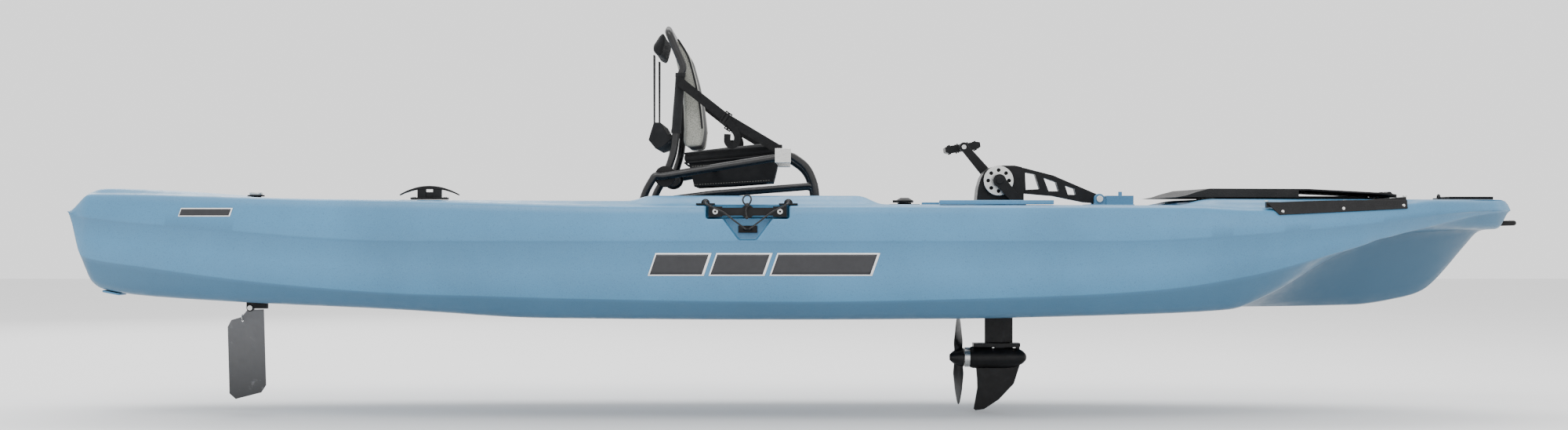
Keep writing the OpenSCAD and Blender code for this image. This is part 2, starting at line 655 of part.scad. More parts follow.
// ----------------------------------------------------------------------- seat
half_seat = seat_w / 2;
tube_r = tube_d / 2;
track_top_z = seat_deck_z + seat_gap + 12;
track_margin = pocket_r + pocket_draft + 6;
knuckle = [-358, 373];
knuckle_r = 28;
knuckle_w = 16;
module seat_tracks() {
    color("silver") both_sides() translate([seat_from + track_margin, half_seat - 16, seat_deck_z + seat_gap])
        let (long = seat_to - seat_from - 2 * track_margin) difference() {
            cube([long, 32, 12]);
            translate([-1, 11, 5]) cube([long + 2, 10, 10]);
        }
}
function in_frame(points, y) = [for (p = points) [p[0], y, p[1]]];
foot_z = track_top_z + 14;
rear_leg = [[-424, foot_z - 4], [-412, 329], [-384, 376], [knuckle[0] - 10, knuckle[1]]];
side_rail = [[knuckle[0] + 8, knuckle[1] + 4], [-290, 386], [-55, 424]];
front_leg = [[-55, 424], [-28, 428], [14, 398], [34, 350], [40, foot_z - 4]];
lower_bar = [[-412, 306], [-231, 330], [21, 350], [34, 344]];
module seat_frame() {
    color("#202022") {
        both_sides() {
            sweep(bent(in_frame(concat(rear_leg, [[-330, 379]], [for (i = [1, 2]) side_rail[i]],
                [for (i = [1 : 4]) front_leg[i]]), half_seat), 12), tube_r, 10);
            sweep(in_frame(lower_bar, half_seat), tube_r * 0.7, 8);
        }
        for (p = [[-230, 395], [34, 352], [-418, 312]])
            sweep([[p[0], -half_seat, p[1]], [p[0], 0, p[1]], [p[0], half_seat, p[1]]], tube_r * 0.8, 8,
                [1, 0, 0]);
    }
}
module seat_feet() {
    color("black") both_sides() for (x = [-425, 40]) translate([x, half_seat, track_top_z + seat_gap])
        difference() {
            translate([-26, -16, 0]) cube([52, 32, 14]);
            translate([0, 0, 8]) cube([2 * tube_r + 2, 2 * tube_r + 1.4, 20], center = true);
        }
}
module seat_knuckles() {
    color("#191919") both_sides()
        translate([knuckle[0], half_seat - tube_r - 0.5 - knuckle_w / 2, knuckle[1]])
        difference() {
            rod_y(knuckle_r, knuckle_w);
            rod_y(4, knuckle_w + 2);
        }
}
module seat_brackets() {
    w = 2 * tube_r;
    color("silver") both_sides() difference() {
        translate([-50, half_seat, 427]) cube([42, w + 8, 38], center = true);
        translate([-50, half_seat, 421]) cube([60, w + 0.5, 40], center = true);
    }
}
cushion_half = half_seat - 2 * tube_r - knuckle_w - 15;
cushion_line = [[-318, 412], [-90, 437]];
module seat_cushion() {
    a = cushion_line[0];
    b = cushion_line[1];
    color("#3a3c40") side_plate([[a[0], a[1] - cushion_t + 24], [b[0] + 40, b[1] - cushion_t + 24],
        [b[0] + 50, b[1] + 10], [b[0] + 30, b[1] + 22], [b[0], b[1] + 24], [a[0], a[1] + 24]],
        2 * cushion_half);
}
module seat_skirt() {
    color("#1d1e20") difference() {
        side_plate([[-300, 407], [-78, 427.6], [-62, 404], [-74, 358], [-286, 346]],
            2 * (cushion_half - 8));
        side_plate([[-290, 380], [-100, 398], [-90, 330], [-280, 320]],
            2 * (cushion_half - 18));
        translate([-230, 0, 395]) rod_y(tube_r * 0.8 + 0.6, seat_w);
    }
}

// The backrest folds forward about the knuckles.
back_y = half_seat - tube_r - 1 - knuckle_w - tube_r;
back_low = [[-358, 373], [-336, 440], [-331, 487], [-319, 640], [-311, 660], [-349, back_top_z - tube_r]];
strap_pin = [-320, 625];
strap_y = half_seat - tube_r - 5;
pin_long = half_seat - tube_r - 1 - back_y;
module back_frame() {
    color("#202022") {
        sweep(concat(in_frame(back_low, -back_y), [[-352, -back_y + 26, back_top_z],
            [-352, 0, back_top_z + 2], [-352, back_y - 26, back_top_z]], [for (i = [5 : -1 : 0])
            [back_low[i][0], back_y, back_low[i][1]]]), tube_r, 10, [1, 0, 0.05]);
        both_sides() translate([knuckle[0], back_y + 2, knuckle[1]]) {
            translate([0, -2, 0]) rod_y(22, 2 * tube_r - 1);
            translate([0, pin_long / 2 - 2, 0]) rod_y(4 - fit, pin_long);
        }
        both_sides() translate([strap_pin[0], (back_y + strap_y) / 2, strap_pin[1]])
            rod_y(4, strap_y - back_y - 2);
    }
}
module back_sling() {
    inner = back_y - tube_r - soft_gap;
    color("#8f908a") side_plate([[-268, 458], [-264, 500], [-270, 560], [-283, 627], [-300, 695],
        [-326, 736], [-342, 736], [-332, 690], [-318, 627], [-308, 560], [-306, 500], [-308, 456]],
        2 * inner);
}
module back_bonnet() {
    color("#26272a") side_plate([[-372, 690], [-358, 744], [-364.5, 762], [-398, 716], [-396, 700]],
        2 * (back_y - 34));
}
module back_tray() {
    w = 2 * (back_y - tube_r - soft_gap);
    color("#222326") difference() {
        side_plate([[-345, 470], [-366, 452], [-384, 446], [-404, 470], [-390, 516], [-372, 516],
            [-354, 484], [-346, 486]], w);
        side_plate([[-394, 476], [-382, 458], [-366, 462], [-372, 482], [-378, 520], [-386, 520]], w - 12);
    }
}
module back_bungees() {
    color("black") both_sides() {
        sweep([[-392, back_y - 60, 697], [-392, back_y - 64, 640], [-391, back_y - 70, 580],
            [-391, back_y - 78, 516.4]], bungee_d / 2, 8);
        sweep([[-392, back_y - 90, 697], [-392, back_y - 88, 640], [-391, back_y - 84, 580],
            [-391, back_y - 80, 516.4]], bungee_d / 2, 8);
    }
}
strap_w = 25;
strap_t = 1.6;
buckle_at = [-199, 526];
module seat_straps() {
    y = strap_y;
    color("#161616") both_sides() for (leg = [[[-325, 625], buckle_at], [buckle_at, [-58, 442]]])
        let (a = leg[0], b = leg[1], n = unit([a[1] - b[1], b[0] - a[0]]) * strap_w / 2,
            g = unit(b - a) * 10)
        translate([0, y, 0]) side_plate([a + n + g, b + n - g, b - n - g, a - n + g], strap_t);
}
module strap_buckles() {
    color("black") both_sides() translate([buckle_at[0], strap_y, buckle_at[1]])
        rotate([0, 34, 0]) difference() {
            cube([20, 6, 34], center = true);
            for (x = [-5, 5]) translate([x, 0, 0]) cube([4, 10, 27], center = true);
        }
}

// ---------------------------------------------------------------- pedal drive
pivot_x = 805;
pivot_z = 316;
pivot_r = 6;
boss_r = 12;
arm_half = 18;
slab_z0 = 301.5;             // underside of the plate that rests on the deck
slab_z1 = 308;
leg_half = 14;
leg_low_z = -74;
shaft_r = 5;
shaft_space_r = 9;
gearcase_half = 15;
housing_half = 48;
housing_wall = 6;
axle_r = 9;
bearing_r = 17;
upper_module = 1.5;
upper_gear_teeth = 40;
upper_pinion_teeth = 10;
lower_module = 1.3;
lower_gear_teeth = 25;
lower_pinion_teeth = 10;
face_w = 6;
prop_shaft_r = 6;

module drive_dock() {
    z0 = deck_height(pivot_x) + seat_gap;
    ear = 20;
    color("steelblue") difference() {
        union() {
            block(pivot_x - 34, pivot_x + 91, -60, 60, z0, z0 + 3);
            for (y = [arm_half + 1, -arm_half - 1 - ear])
                block(pivot_x - 14, pivot_x + 20, y, y + ear, z0, pivot_z);
            for (y = [arm_half + 1 + ear / 2, -arm_half - 1 - ear / 2])
                translate([pivot_x, y, pivot_z]) rod_y(boss_r + 2, ear);
            block(pivot_x + 18, pivot_x + 91, -44, 44, z0, 325);
            translate([pivot_x + 61, 0, 330]) cube([10, 4, 12], center = true);
        }
        translate([pivot_x, 0, pivot_z]) rod_y(pivot_r, 200);
        translate([pivot_x + 50, 0, z0]) cube([50, 70, 34], center = true);
    }
}
module drive_pivot_pin() {
    color("silver") translate([pivot_x, 0, pivot_z]) {
        rod_y(pivot_r - fit, 2 * arm_half + 48);
        for (side = [-1, 1]) translate([0, side * (arm_half + 24 + 1.5), 0]) rod_y(9, 3);
    }
}
window_1 = [[606, 388], [633, 383], [646, 343], [608, 341]];
window_2 = [[656, 374], [690, 362], [698, 337], [670, 337]];
window_3 = [[714, 353], [740, 344], [744, 327], [722, 328]];
module drive_arm() {
    color("#1b1b1d") difference() {
        union() {
            side_plate([[600, 401], [682, 380], [803, pivot_z + boss_r], [pivot_x, pivot_z - boss_r],
                [765, 307], [682, 324], [600, 331]], 2 * arm_half);
            translate([pivot_x, 0, pivot_z]) rod_y(boss_r, 2 * arm_half);
        }
        for (w = [window_1, window_2, window_3]) side_plate(w, 2 * arm_half + 2);
        translate([pivot_x, 0, pivot_z]) rod_y(pivot_r, 2 * arm_half + 2);
    }
}
housing_line = [[472, slab_z1 + seat_gap], [476, 345], [484, 372], [494, 389], [509, 400], [528, 406],
    [575, 406], [594, 402], [599.5, 390], [599.5, slab_z1 + seat_gap]];
module housing_half_shell(side) {
    color("#222224") scale_y(side) difference() {
        union() {
            translate([0, housing_half, 0]) rotate([90, 0, 0])
                linear_extrude(housing_half - 0.15) polygon(housing_line);
            translate([crank_x, housing_half + 1.5, crank_z]) rod_y(bearing_r + 5, 5);
        }
        translate([crank_x, (housing_half - housing_wall) / 2 - 1, crank_z])
            rod_y(35, housing_half - housing_wall + 2);
        translate([crank_x, 0, slab_z1 - 2]) cylinder(r = 22, h = crank_z - slab_z1);
        translate([crank_x, housing_half, crank_z]) rod_y(bearing_r, 40);
    }
}
module drive_housing_left() { housing_half_shell(1); }
module drive_housing_right() { housing_half_shell(-1); }
module drive_leg() {
    color("#2b2c2e") difference() {
        union() {
            translate([0, 0, leg_low_z]) linear_extrude(slab_z0 - leg_low_z + 1) {
                translate([crank_x + 12, 0]) circle(leg_half, $fn = 64);
                polygon([[crank_x + 12, leg_half], [crank_x - 32, 3], [crank_x - 32, -3],
                    [crank_x + 12, -leg_half]]);
                polygon([[crank_x + 12, leg_half], [crank_x + 30, 8], [crank_x + 44, 2],
                    [crank_x + 44, -2], [crank_x + 30, -8], [crank_x + 12, -leg_half]]);
            }
            block(461, 599, -58, 58, slab_z0, slab_z1);
        }
        translate([crank_x, 0, leg_low_z - 1]) cylinder(r = shaft_space_r, h = 500);
    }
}
collar_x = 458;
pod_front = 612;
module gearcase() {
    bore = pod_r - 8;
    color("#8d9093") difference() {
        union() {
            translate([collar_x, 0, prop_z]) rotate([90, 0, 90]) rotate_extrude($fn = 96) polygon(concat(
                [[0, 0], [pod_r - 3, 0], [pod_r, 8]],
                [for (a = [0 : 10 : 90]) [pod_r * cos(a), pod_front - collar_x - 60 + 60 * sin(a)]]));
            translate([0, 0, prop_z]) linear_extrude(leg_low_z - prop_z - seat_gap) polygon([
                [484, 0], [500, 6], [crank_x - 8, gearcase_half], [crank_x + 16, gearcase_half],
                [570, 10], [593, 0], [570, -10], [crank_x + 16, -gearcase_half],
                [crank_x - 8, -gearcase_half], [500, -6]]);
            block(466, 592, -bolt_y - 6, bolt_y + 6, leg_low_z - 10, leg_low_z - seat_gap);
            side_plate([[472, prop_z], [477, prop_z - 55], [478, prop_z - 83], [468, prop_z - 140],
                [473, prop_z - 144], [496, prop_z - 141], [536, prop_z - 115], [577, prop_z - 72],
                [600, prop_z]], 7);
        }
        translate([(collar_x + 575) / 2 - 5, 0, prop_z]) rod_x(bore, 575 - collar_x + 10);
        translate([crank_x, 0, prop_z]) cylinder(r = 11, h = 80);
        for (x = bolt_x, y = [-bolt_y, bolt_y]) translate([x, y, leg_low_z - 20]) cylinder(r = 2.6, h = 40);
    }
}
bolt_x = [519, 575];
bolt_y = 21;
module flange_bolts() {
    color("silver") for (x = bolt_x, y = [-bolt_y, bolt_y]) translate([x, y, leg_low_z - 10 - seat_gap]) {
        translate([0, 0, -3]) cylinder(r = 5, h = 3, $fn = 6);
        cylinder(r = 2.5, h = 10);
    }
}

// A bevel gear about +Z with the cones' common tip at the origin
module bevel_gear(teeth, mate, mod, bore, back, phase = 0) {
    tilt = atan(teeth / mate);
    reach = mod * sqrt(teeth * teeth + mate * mate) / 2;
    inner = reach - face_w;
    scale_in = inner / reach;
    add = 0.7 * mod * scale_in;
    ded = 1.1 * mod * scale_in;
    half_pitch = 0.20 * PI * mod * scale_in;
    slope = tan(20);
    sink = 0.3;
    g = [sin(tilt), cos(tilt)];
    outward = [cos(tilt), -sin(tilt)];
    p1 = g * reach - outward * ded;
    p2 = g * inner - outward * ded;
    difference() {
        union() {
            rotate_extrude($fn = 72) polygon([[0, p2[1]], p2, p1, [p1[0], p1[1] + back],
                [0, p1[1] + back]]);
            for (i = [0 : teeth - 1]) rotate([0, 0, phase + 360 * i / teeth]) rotate([0, tilt, 0])
                translate([0, 0, inner]) linear_extrude(face_w) polygon([
                    [-ded - sink, -half_pitch - (ded + sink) * slope], [add, -half_pitch + add * slope],
                    [add, half_pitch - add * slope], [-ded - sink, half_pitch + (ded + sink) * slope]]);
        }
        translate([0, 0, -50]) cylinder(r = bore, h = 200);
    }
}
axle_half = 100;
module crank_axle() {
    color("silver") translate([crank_x, 0, crank_z]) rod_y(axle_r, 2 * axle_half);
}
module crank_gear() {
    color("silver") translate([crank_x, 0, crank_z]) rotate([-90, 0, 0])
        bevel_gear(upper_gear_teeth, upper_pinion_teeth, upper_module, axle_r, 5);
}
module crank_bearing_rings() {
    color("silver") both_sides() translate([crank_x, housing_half - 2, crank_z]) difference() {
        rod_y(bearing_r - fit, 10);
        rod_y(axle_r + fit, 12);
    }
}
crank_lift = 49.6;           // the port crank's angle above the horizontal, pointing aft
arm_y0 = 84;
arm_t = 13;
pedal_hub_r = 6.5;
function pin_at(side) = [crank_x - side * crank_len * cos(crank_lift), side * pedal_y,
    crank_z + side * crank_len * sin(crank_lift)];
module crank_arms() {
    color("#303134") for (side = [-1, 1]) difference() {
        translate([crank_x, side * (arm_y0 + arm_t / 2), crank_z])
            rotate([0, side > 0 ? crank_lift - 180 : crank_lift, 0]) {
                rod_y(17, arm_t);
                translate([crank_len / 2, 0, 0]) rotate([90, 0, 0])
                    linear_extrude(arm_t, center = true) polygon([[-crank_len / 2, -15],
                    [crank_len / 2, -11], [crank_len / 2, 11], [-crank_len / 2, 15]]);
                translate([crank_len, 0, 0]) rod_y(13, arm_t);
            }
        translate([crank_x, side * 90, crank_z]) rod_y(axle_r, 60);
        translate([pin_at(side)[0], side * (arm_y0 + arm_t / 2), pin_at(side)[2]])
            rod_y(pedal_hub_r, 60);
    }
}
module pedal_spindles() {
    y1 = pedal_y + pedal_w / 2 + 4;
    color("silver") for (side = [-1, 1])
        translate([pin_at(side)[0], side * (arm_y0 + y1) / 2, pin_at(side)[2]])
        rod_y(pedal_hub_r, y1 - arm_y0);
}
disc_r = 40;
module crank_discs() {
    color("silver") for (side = [-1, 1]) translate([crank_x, side * 63, crank_z]) difference() {
        rod_y(disc_r, 5);
        rod_y(axle_r, 8);
        for (a = [0 : 45 : 315]) rotate([0, a, 0]) translate([28, 0, 0]) rod_y(5, 8);
    }
}
pedal_t = 20;
module pedal(side, tilt) {
    half = pedal_len / 2;
    color("#1d1d1f") translate(pin_at(side)) rotate([0, tilt, 0]) difference() {
        union() {
            side_plate([[-half, -6], [-half, 7], [-half + 8, pedal_t / 2], [half - 8, pedal_t / 2],
                [half, 7], [half, -6], [half - 8, -pedal_t / 2], [-half + 8, -pedal_t / 2]], pedal_w);
            for (x = [-36, -14, 14, 36], y = [-36, 0, 36], up = [-1, 1])
                if (abs(y) > 0 || abs(x) > 20) translate([x, y * (pedal_w / 88), up * (pedal_t / 2 + 1)])
                    cylinder(r = 2, h = 4, center = true, $fn = 16);
        }
        rod_y(pedal_hub_r + fit, pedal_w + 2);
        for (x = [-24, 24], y = [-bolt_y, bolt_y] * pedal_w / 88) translate([x, y, 0])
            cube([22, 27 * pedal_w / 88, pedal_t + 8], center = true);
    }
}
module pedal_left() { pedal(1, -9); }
module pedal_right() { pedal(-1, 0); }
function upper_drop() = upper_module * upper_gear_teeth / 2;
function lower_rise() = lower_module * lower_pinion_teeth / 2;
module pinion_shaft() {
    upper_pinion();
    low = prop_z + lower_rise() + 2;
    color("silver") translate([crank_x, 0, low])
        cylinder(r = shaft_r, h = crank_z - upper_drop() + 6.5 - low);
}
module upper_pinion() {
    color("#b08d57") translate([crank_x, 0, crank_z]) rotate([180, 0, 0])
        bevel_gear(upper_pinion_teeth, upper_gear_teeth, upper_module, shaft_r - 1.6, 5);
}
module lower_gear() {
    color("silver") translate([crank_x, 0, prop_z])
        bevel_gear(lower_gear_teeth, lower_pinion_teeth, lower_module, shaft_r, 4,
            180 / lower_gear_teeth);
}
module shaft_bearing_rings() {
    color("silver") for (z = [270, leg_low_z + 14]) translate([crank_x, 0, z]) difference() {
        cylinder(r = shaft_space_r - fit, h = 8);
        translate([0, 0, -1]) cylinder(r = shaft_r + fit, h = 10);
    }
}
hub_x0 = 402;
hub_x1 = 441;
hub_r = 24;
module prop_shaft() {
    prop_pinion();
    x1 = crank_x - lower_module * lower_gear_teeth / 2 + 4;
    color("silver") translate([(hub_x0 + 6 + x1) / 2, 0, prop_z])
        rod_x(3.4, x1 - hub_x0 - 6);
    color("silver") translate([(hub_x0 + 6 + 500) / 2, 0, prop_z]) rod_x(prop_shaft_r, 500 - hub_x0 - 6);
}
module prop_pinion() {
    color("#b08d57") translate([crank_x, 0, prop_z]) rotate([0, -90, 0])
        bevel_gear(lower_pinion_teeth, lower_gear_teeth, lower_module, 3.4, 2, 180 / lower_pinion_teeth);
}
module prop_bearing_rings() {
    color("silver") for (x = [470, 492]) translate([x, 0, prop_z]) difference() {
        rod_x(pod_r - 8 - fit, 8);
        rod_x(prop_shaft_r + fit, 10);
    }
}
module drive_bearings() {
    crank_bearing_rings();
    shaft_bearing_rings();
    prop_bearing_rings();
}
module prop_collar() {
    color("silver") translate([450, 0, prop_z]) difference() {
        union() {
            rod_x(26.5, 15);
            translate([9, 0, 0]) rod_x(pod_r - 8 - fit, 12);
        }
        rod_x(prop_shaft_r + fit, 40);
    }
}
pitch_len = 330;
blade_shares = [0.13, 0.25, 0.4, 0.55, 0.7, 0.83, 0.93, 1];
chord_curve = [[0.13, 26], [0.4, 42], [0.65, 44], [0.85, 32], [1, 12]];
module propeller() {
    x_mid = (hub_x0 + hub_x1) / 2 + 5;
    color("#e0b020") {
        translate([0, 0, prop_z]) difference() {
            translate([hub_x1, 0, 0]) rotate([90, 0, -90]) rotate_extrude($fn = 72)
                polygon([[0, 0], [hub_r, 0], [hub_r - 1, 10], [17, 28], [8, hub_x1 - hub_x0],
                [0, hub_x1 - hub_x0]]);
            translate([hub_x0 + 100, 0, 0]) rod_x(prop_shaft_r, 188);
        }
        for (turn = [0, 180]) translate([x_mid, 0, prop_z]) rotate([turn, 0, 0])
            loft([for (s = blade_shares)
                let (r = s * prop_r, c = curve(chord_curve, s) / 2, a = atan(pitch_len / (2 * PI * r)),
                    t = 3.2 - 2.2 * s)
                [for (k = [0 : 7]) let (u = c * cos(45 * k), v = -t * sin(45 * k))
                    [u * sin(a) - v * cos(a), u * cos(a) + v * sin(a), r]]]);
    }
}

boat_hull();
skid_plates();
bow_handle();
bow_plate();
bow_plate_inserts();
hatch_rim();
hatch_seal();
hatch_lid();
hatch_hinge_pin();
side_rails();
side_handle_left();
side_handle_right();
deck_screws();
pad_eyes();
side_bungees();
anchor_cleat();
steering_base();
steering_knob();
gear_tracks();
rudder_tube();
rudder_stock();
rudder_fork();
rudder_pin();
rudder_blade();
rudder_ring();
seat_tracks();
seat_frame();
seat_feet();
seat_knuckles();
seat_brackets();
seat_cushion();
seat_skirt();
back_frame();
back_sling();
back_bonnet();
back_tray();
back_bungees();
seat_straps();
strap_buckles();
drive_dock();
drive_pivot_pin();
drive_arm();
drive_housing_left();
drive_housing_right();
drive_leg();
gearcase();
flange_bolts();
drive_bearings();
prop_collar();
crank_axle();
crank_gear();
crank_arms();
crank_discs();
pedal_spindles();
pedal_left();
pedal_right();
pinion_shaft();
lower_gear();
prop_shaft();
propeller();
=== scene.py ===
"""Builds the finished look of a pedal-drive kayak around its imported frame."""

import math
from functools import partial

import bmesh
import bpy
from bpy.props import FloatProperty, FloatVectorProperty, PointerProperty
from mathutils import Euler, Matrix, Vector


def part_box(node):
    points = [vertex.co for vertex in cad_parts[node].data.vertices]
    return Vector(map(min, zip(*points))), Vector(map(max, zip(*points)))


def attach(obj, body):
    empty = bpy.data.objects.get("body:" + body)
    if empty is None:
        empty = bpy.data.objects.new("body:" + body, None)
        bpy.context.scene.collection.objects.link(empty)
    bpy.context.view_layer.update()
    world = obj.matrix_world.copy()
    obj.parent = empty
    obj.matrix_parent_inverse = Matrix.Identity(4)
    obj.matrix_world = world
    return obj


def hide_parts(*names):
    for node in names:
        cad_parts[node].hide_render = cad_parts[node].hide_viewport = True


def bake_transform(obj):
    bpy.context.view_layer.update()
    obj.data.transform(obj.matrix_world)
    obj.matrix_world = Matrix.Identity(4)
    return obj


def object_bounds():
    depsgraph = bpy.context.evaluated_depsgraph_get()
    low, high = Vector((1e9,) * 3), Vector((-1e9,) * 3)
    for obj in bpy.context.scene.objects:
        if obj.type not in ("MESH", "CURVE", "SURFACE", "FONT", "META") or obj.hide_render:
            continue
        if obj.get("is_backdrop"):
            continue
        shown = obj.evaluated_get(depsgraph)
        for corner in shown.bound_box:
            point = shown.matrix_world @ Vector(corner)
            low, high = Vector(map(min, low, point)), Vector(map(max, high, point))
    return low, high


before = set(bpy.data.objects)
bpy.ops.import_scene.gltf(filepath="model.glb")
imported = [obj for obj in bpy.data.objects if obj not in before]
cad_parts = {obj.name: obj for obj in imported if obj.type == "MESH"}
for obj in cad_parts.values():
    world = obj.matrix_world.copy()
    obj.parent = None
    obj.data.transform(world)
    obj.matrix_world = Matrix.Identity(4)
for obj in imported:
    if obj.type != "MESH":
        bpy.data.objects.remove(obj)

bl_info = {
    "name": "Pedal kayak",
    "version": (1, 0, 0),
    "blender": (4, 5, 0),
    "location": "View3D > Sidebar > Kayak",
    "description": "Models and finishes the pieces of a pedal-drive kayak",
    "category": "Object",
}

CAD_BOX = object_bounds()
MM = 0.001
STARBOARD, PORT = -1, 1


# ------------------------------------------------------------------ properties
class KayakSizes(bpy.types.PropertyGroup):
    """Sizes of the finish that a user may change"""

    edge: FloatProperty(name="Edge radius", description="Rounding of moulded edges",
                        default=0.0012, unit="LENGTH")
    cord: FloatProperty(name="Cord radius", description="Radius of the elastic cords",
                        default=0.0022, unit="LENGTH")
    webbing: FloatProperty(name="Webbing width", description="Width of the seat straps",
                           default=0.025, unit="LENGTH")
    tube: FloatProperty(name="Tube radius", description="Radius of the seat's tubes",
                        default=0.010, unit="LENGTH")
    piping: FloatProperty(name="Piping radius", description="Radius of the sewn edge of a cushion",
                          default=0.0026, unit="LENGTH")


class KayakColours(bpy.types.PropertyGroup):
    """Colours of the finish that a user may change"""

    hull: FloatVectorProperty(name="Hull", description="Main colour of the hull", subtype="COLOR",
                              size=3, default=(0.050, 0.180, 0.318))
    hull_dark: FloatVectorProperty(name="Hull speckle", description="Dark grains in the hull",
                                   subtype="COLOR", size=3, default=(0.024, 0.095, 0.175))
    hull_light: FloatVectorProperty(name="Hull bloom", description="Pale grains in the hull",
                                    subtype="COLOR", size=3, default=(0.10, 0.26, 0.40))
    trim: FloatVectorProperty(name="Trim", description="Moulded black trim", subtype="COLOR",
                              size=3, default=(0.0040, 0.0040, 0.0045))
    cloth: FloatVectorProperty(name="Cloth", description="Dark seat cloth", subtype="COLOR",
                               size=3, default=(0.0075, 0.0078, 0.0086))
    mesh_cloth: FloatVectorProperty(name="Mesh cloth", description="Pale panels of the backrest",
                                    subtype="COLOR", size=3, default=(0.30, 0.30, 0.265))


def sizes():
    return bpy.context.scene.kayak_sizes


def colours():
    return bpy.context.scene.kayak_colours


# ------------------------------------------------------------------- materials
class Shader:
    """A material's node tree, with short ways to add what every finish here needs"""

    def __init__(self, name, roughness=0.5, metallic=0.0, **plain):
        self.material = bpy.data.materials.new(name)
        self.material.use_nodes = True
        self.tree = self.material.node_tree
        self.surface = self.tree.nodes["Principled BSDF"]
        self.put("Roughness", roughness)
        self.put("Metallic", metallic)
        for socket, value in plain.items():
            self.put(socket.replace("_", " "), value)
        self.coords = self.tree.nodes.new("ShaderNodeTexCoord").outputs["Object"]

    def put(self, socket, value):
        self.surface.inputs[socket].default_value = value

    def link(self, a, b):
        self.tree.links.new(a, b)

    def mapping(self, scale=(1, 1, 1), uv=False):
        node = self.tree.nodes.new("ShaderNodeMapping")
        node.inputs["Scale"].default_value = scale
        if uv:
            source = self.tree.nodes.new("ShaderNodeUVMap").outputs["UV"]
        else:
            source = self.coords
        self.link(source, node.inputs["Vector"])
        return node.outputs["Vector"]

    def noise(self, scale, detail=4.0, rough=0.6, vector=None):
        node = self.tree.nodes.new("ShaderNodeTexNoise")
        node.inputs["Scale"].default_value = scale
        node.inputs["Detail"].default_value = detail
        node.inputs["Roughness"].default_value = rough
        self.link(vector or self.coords, node.inputs["Vector"])
        return node.outputs["Fac"]

    def cells(self, scale, vector=None):
        node = self.tree.nodes.new("ShaderNodeTexVoronoi")
        node.inputs["Scale"].default_value = scale
        self.link(vector or self.coords, node.inputs["Vector"])
        return node.outputs["Distance"]

    def wave(self, scale, direction="X", vector=None):
        node = self.tree.nodes.new("ShaderNodeTexWave")
        node.bands_direction = direction
        node.inputs["Scale"].default_value = scale
        self.link(vector or self.coords, node.inputs["Vector"])
        return node.outputs["Fac"]

    def math(self, kind, a, b):
        node = self.tree.nodes.new("ShaderNodeMath")
        node.operation = kind
        for socket, value in zip(node.inputs, (a, b)):
            if isinstance(value, (int, float)):
                socket.default_value = value
            else:
                self.link(value, socket)
        return node.outputs["Value"]

    def ramp(self, value, *stops):
        node = self.tree.nodes.new("ShaderNodeValToRGB")
        marks = node.color_ramp.elements
        while len(marks) < len(stops):
            marks.new(0.5)
        for mark, (place, colour) in zip(marks, stops):
            mark.position = place
            mark.color = (*colour, 1) if hasattr(colour, "__len__") else (colour,) * 3 + (1,)
        self.link(value, node.inputs["Fac"])
        return node.outputs["Color"]

    def mix(self, amount, a, b):
        node = self.tree.nodes.new("ShaderNodeMix")
        node.data_type = "RGBA"
        self.link(amount, node.inputs["Factor"])
        for socket, value in ((node.inputs[6], a), (node.inputs[7], b)):
            if hasattr(value, "is_linked"):
                self.link(value, socket)
            else:
                socket.default_value = (*value, 1)
        return node.outputs[2]

    def attribute(self, name):
        node = self.tree.nodes.new("ShaderNodeAttribute")
        node.attribute_name = name
        return node.outputs["Fac"]

    def split(self):
        node = self.tree.nodes.new("ShaderNodeSeparateXYZ")
        self.link(self.coords, node.inputs[0])
        return node.outputs

    def colour(self, value):
        self.link(value, self.surface.inputs["Base Color"])
        return self

    def rough(self, value, low, high):
        self.link(self.ramp(value, (0.3, low), (0.7, high)), self.surface.inputs["Roughness"])
        return self

    def bump(self, value, strength, distance):
        node = self.tree.nodes.new("ShaderNodeBump")
        node.inputs["Strength"].default_value = strength
        node.inputs["Distance"].default_value = distance
        self.link(value, node.inputs["Height"])
        old = self.surface.inputs["Normal"]
        if old.is_linked:
            self.link(old.links[0].from_socket, node.inputs["Normal"])
        self.link(node.outputs["Normal"], old)
        return self


def scaled(colour, factor):
    return tuple(min(1.0, c * factor) for c in colour)


MADE = {}


def finish(name):
    """The named finish, made the first time it is asked for"""
    if name not in MADE:
        MADE[name] = FINISHES[name]().material
    return MADE[name]


def hull_plastic():
    c = colours()
    s = Shader("rotomoulded_hull", 0.42, Coat_Weight=0.12, Coat_Roughness=0.3)
    cloud = s.noise(3.2, 5, 0.55)
    base = s.mix(s.ramp(cloud, (0.35, 0.0), (0.68, 1.0)), c.hull, scaled(c.hull, 1.22))
    grain = s.noise(380, 3, 0.7)
    dark = s.ramp(grain, (0.56, 0.0), (0.70, 0.75))
    base = s.mix(dark, base, c.hull_dark)
    fleck = s.ramp(s.noise(520, 2, 0.6), (0.60, 0.0), (0.72, 0.6))
    base = s.mix(fleck, base, c.hull_light)
    # painted shade: the hull colour is darkened below the lower chine, under the bottom and just under the
    # upper chine, wherever the skin's shade attribute is set
    base = s.mix(s.attribute("shade"), base, scaled(c.hull, 0.42))
    scratch = s.noise(14, 6, 0.75, s.mapping((0.6, 5, 9)))
    marks = s.ramp(scratch, (0.66, 0.0), (0.72, 0.35))
    base = s.mix(marks, base, scaled(c.hull_light, 1.15))
    s.colour(base).rough(s.noise(26, 4), 0.34, 0.52)
    s.bump(s.noise(420, 2), 0.12, 0.0006)
    return s.bump(s.noise(22, 3), 0.10, 0.003)


def mottled(s, clouds, span, tones, gloss, grain):
    """Two tones in soft clouds, with an uneven gloss and a fine grain"""
    amount = s.noise(*clouds)
    if span:
        amount = s.ramp(amount, (span[0], 0.0), (span[1], 1.0))
    s.colour(s.mix(amount, *tones))
    s.rough(s.noise(*gloss[:2]), *gloss[2:])
    return s.bump(s.noise(*grain[:2]), *grain[2:])


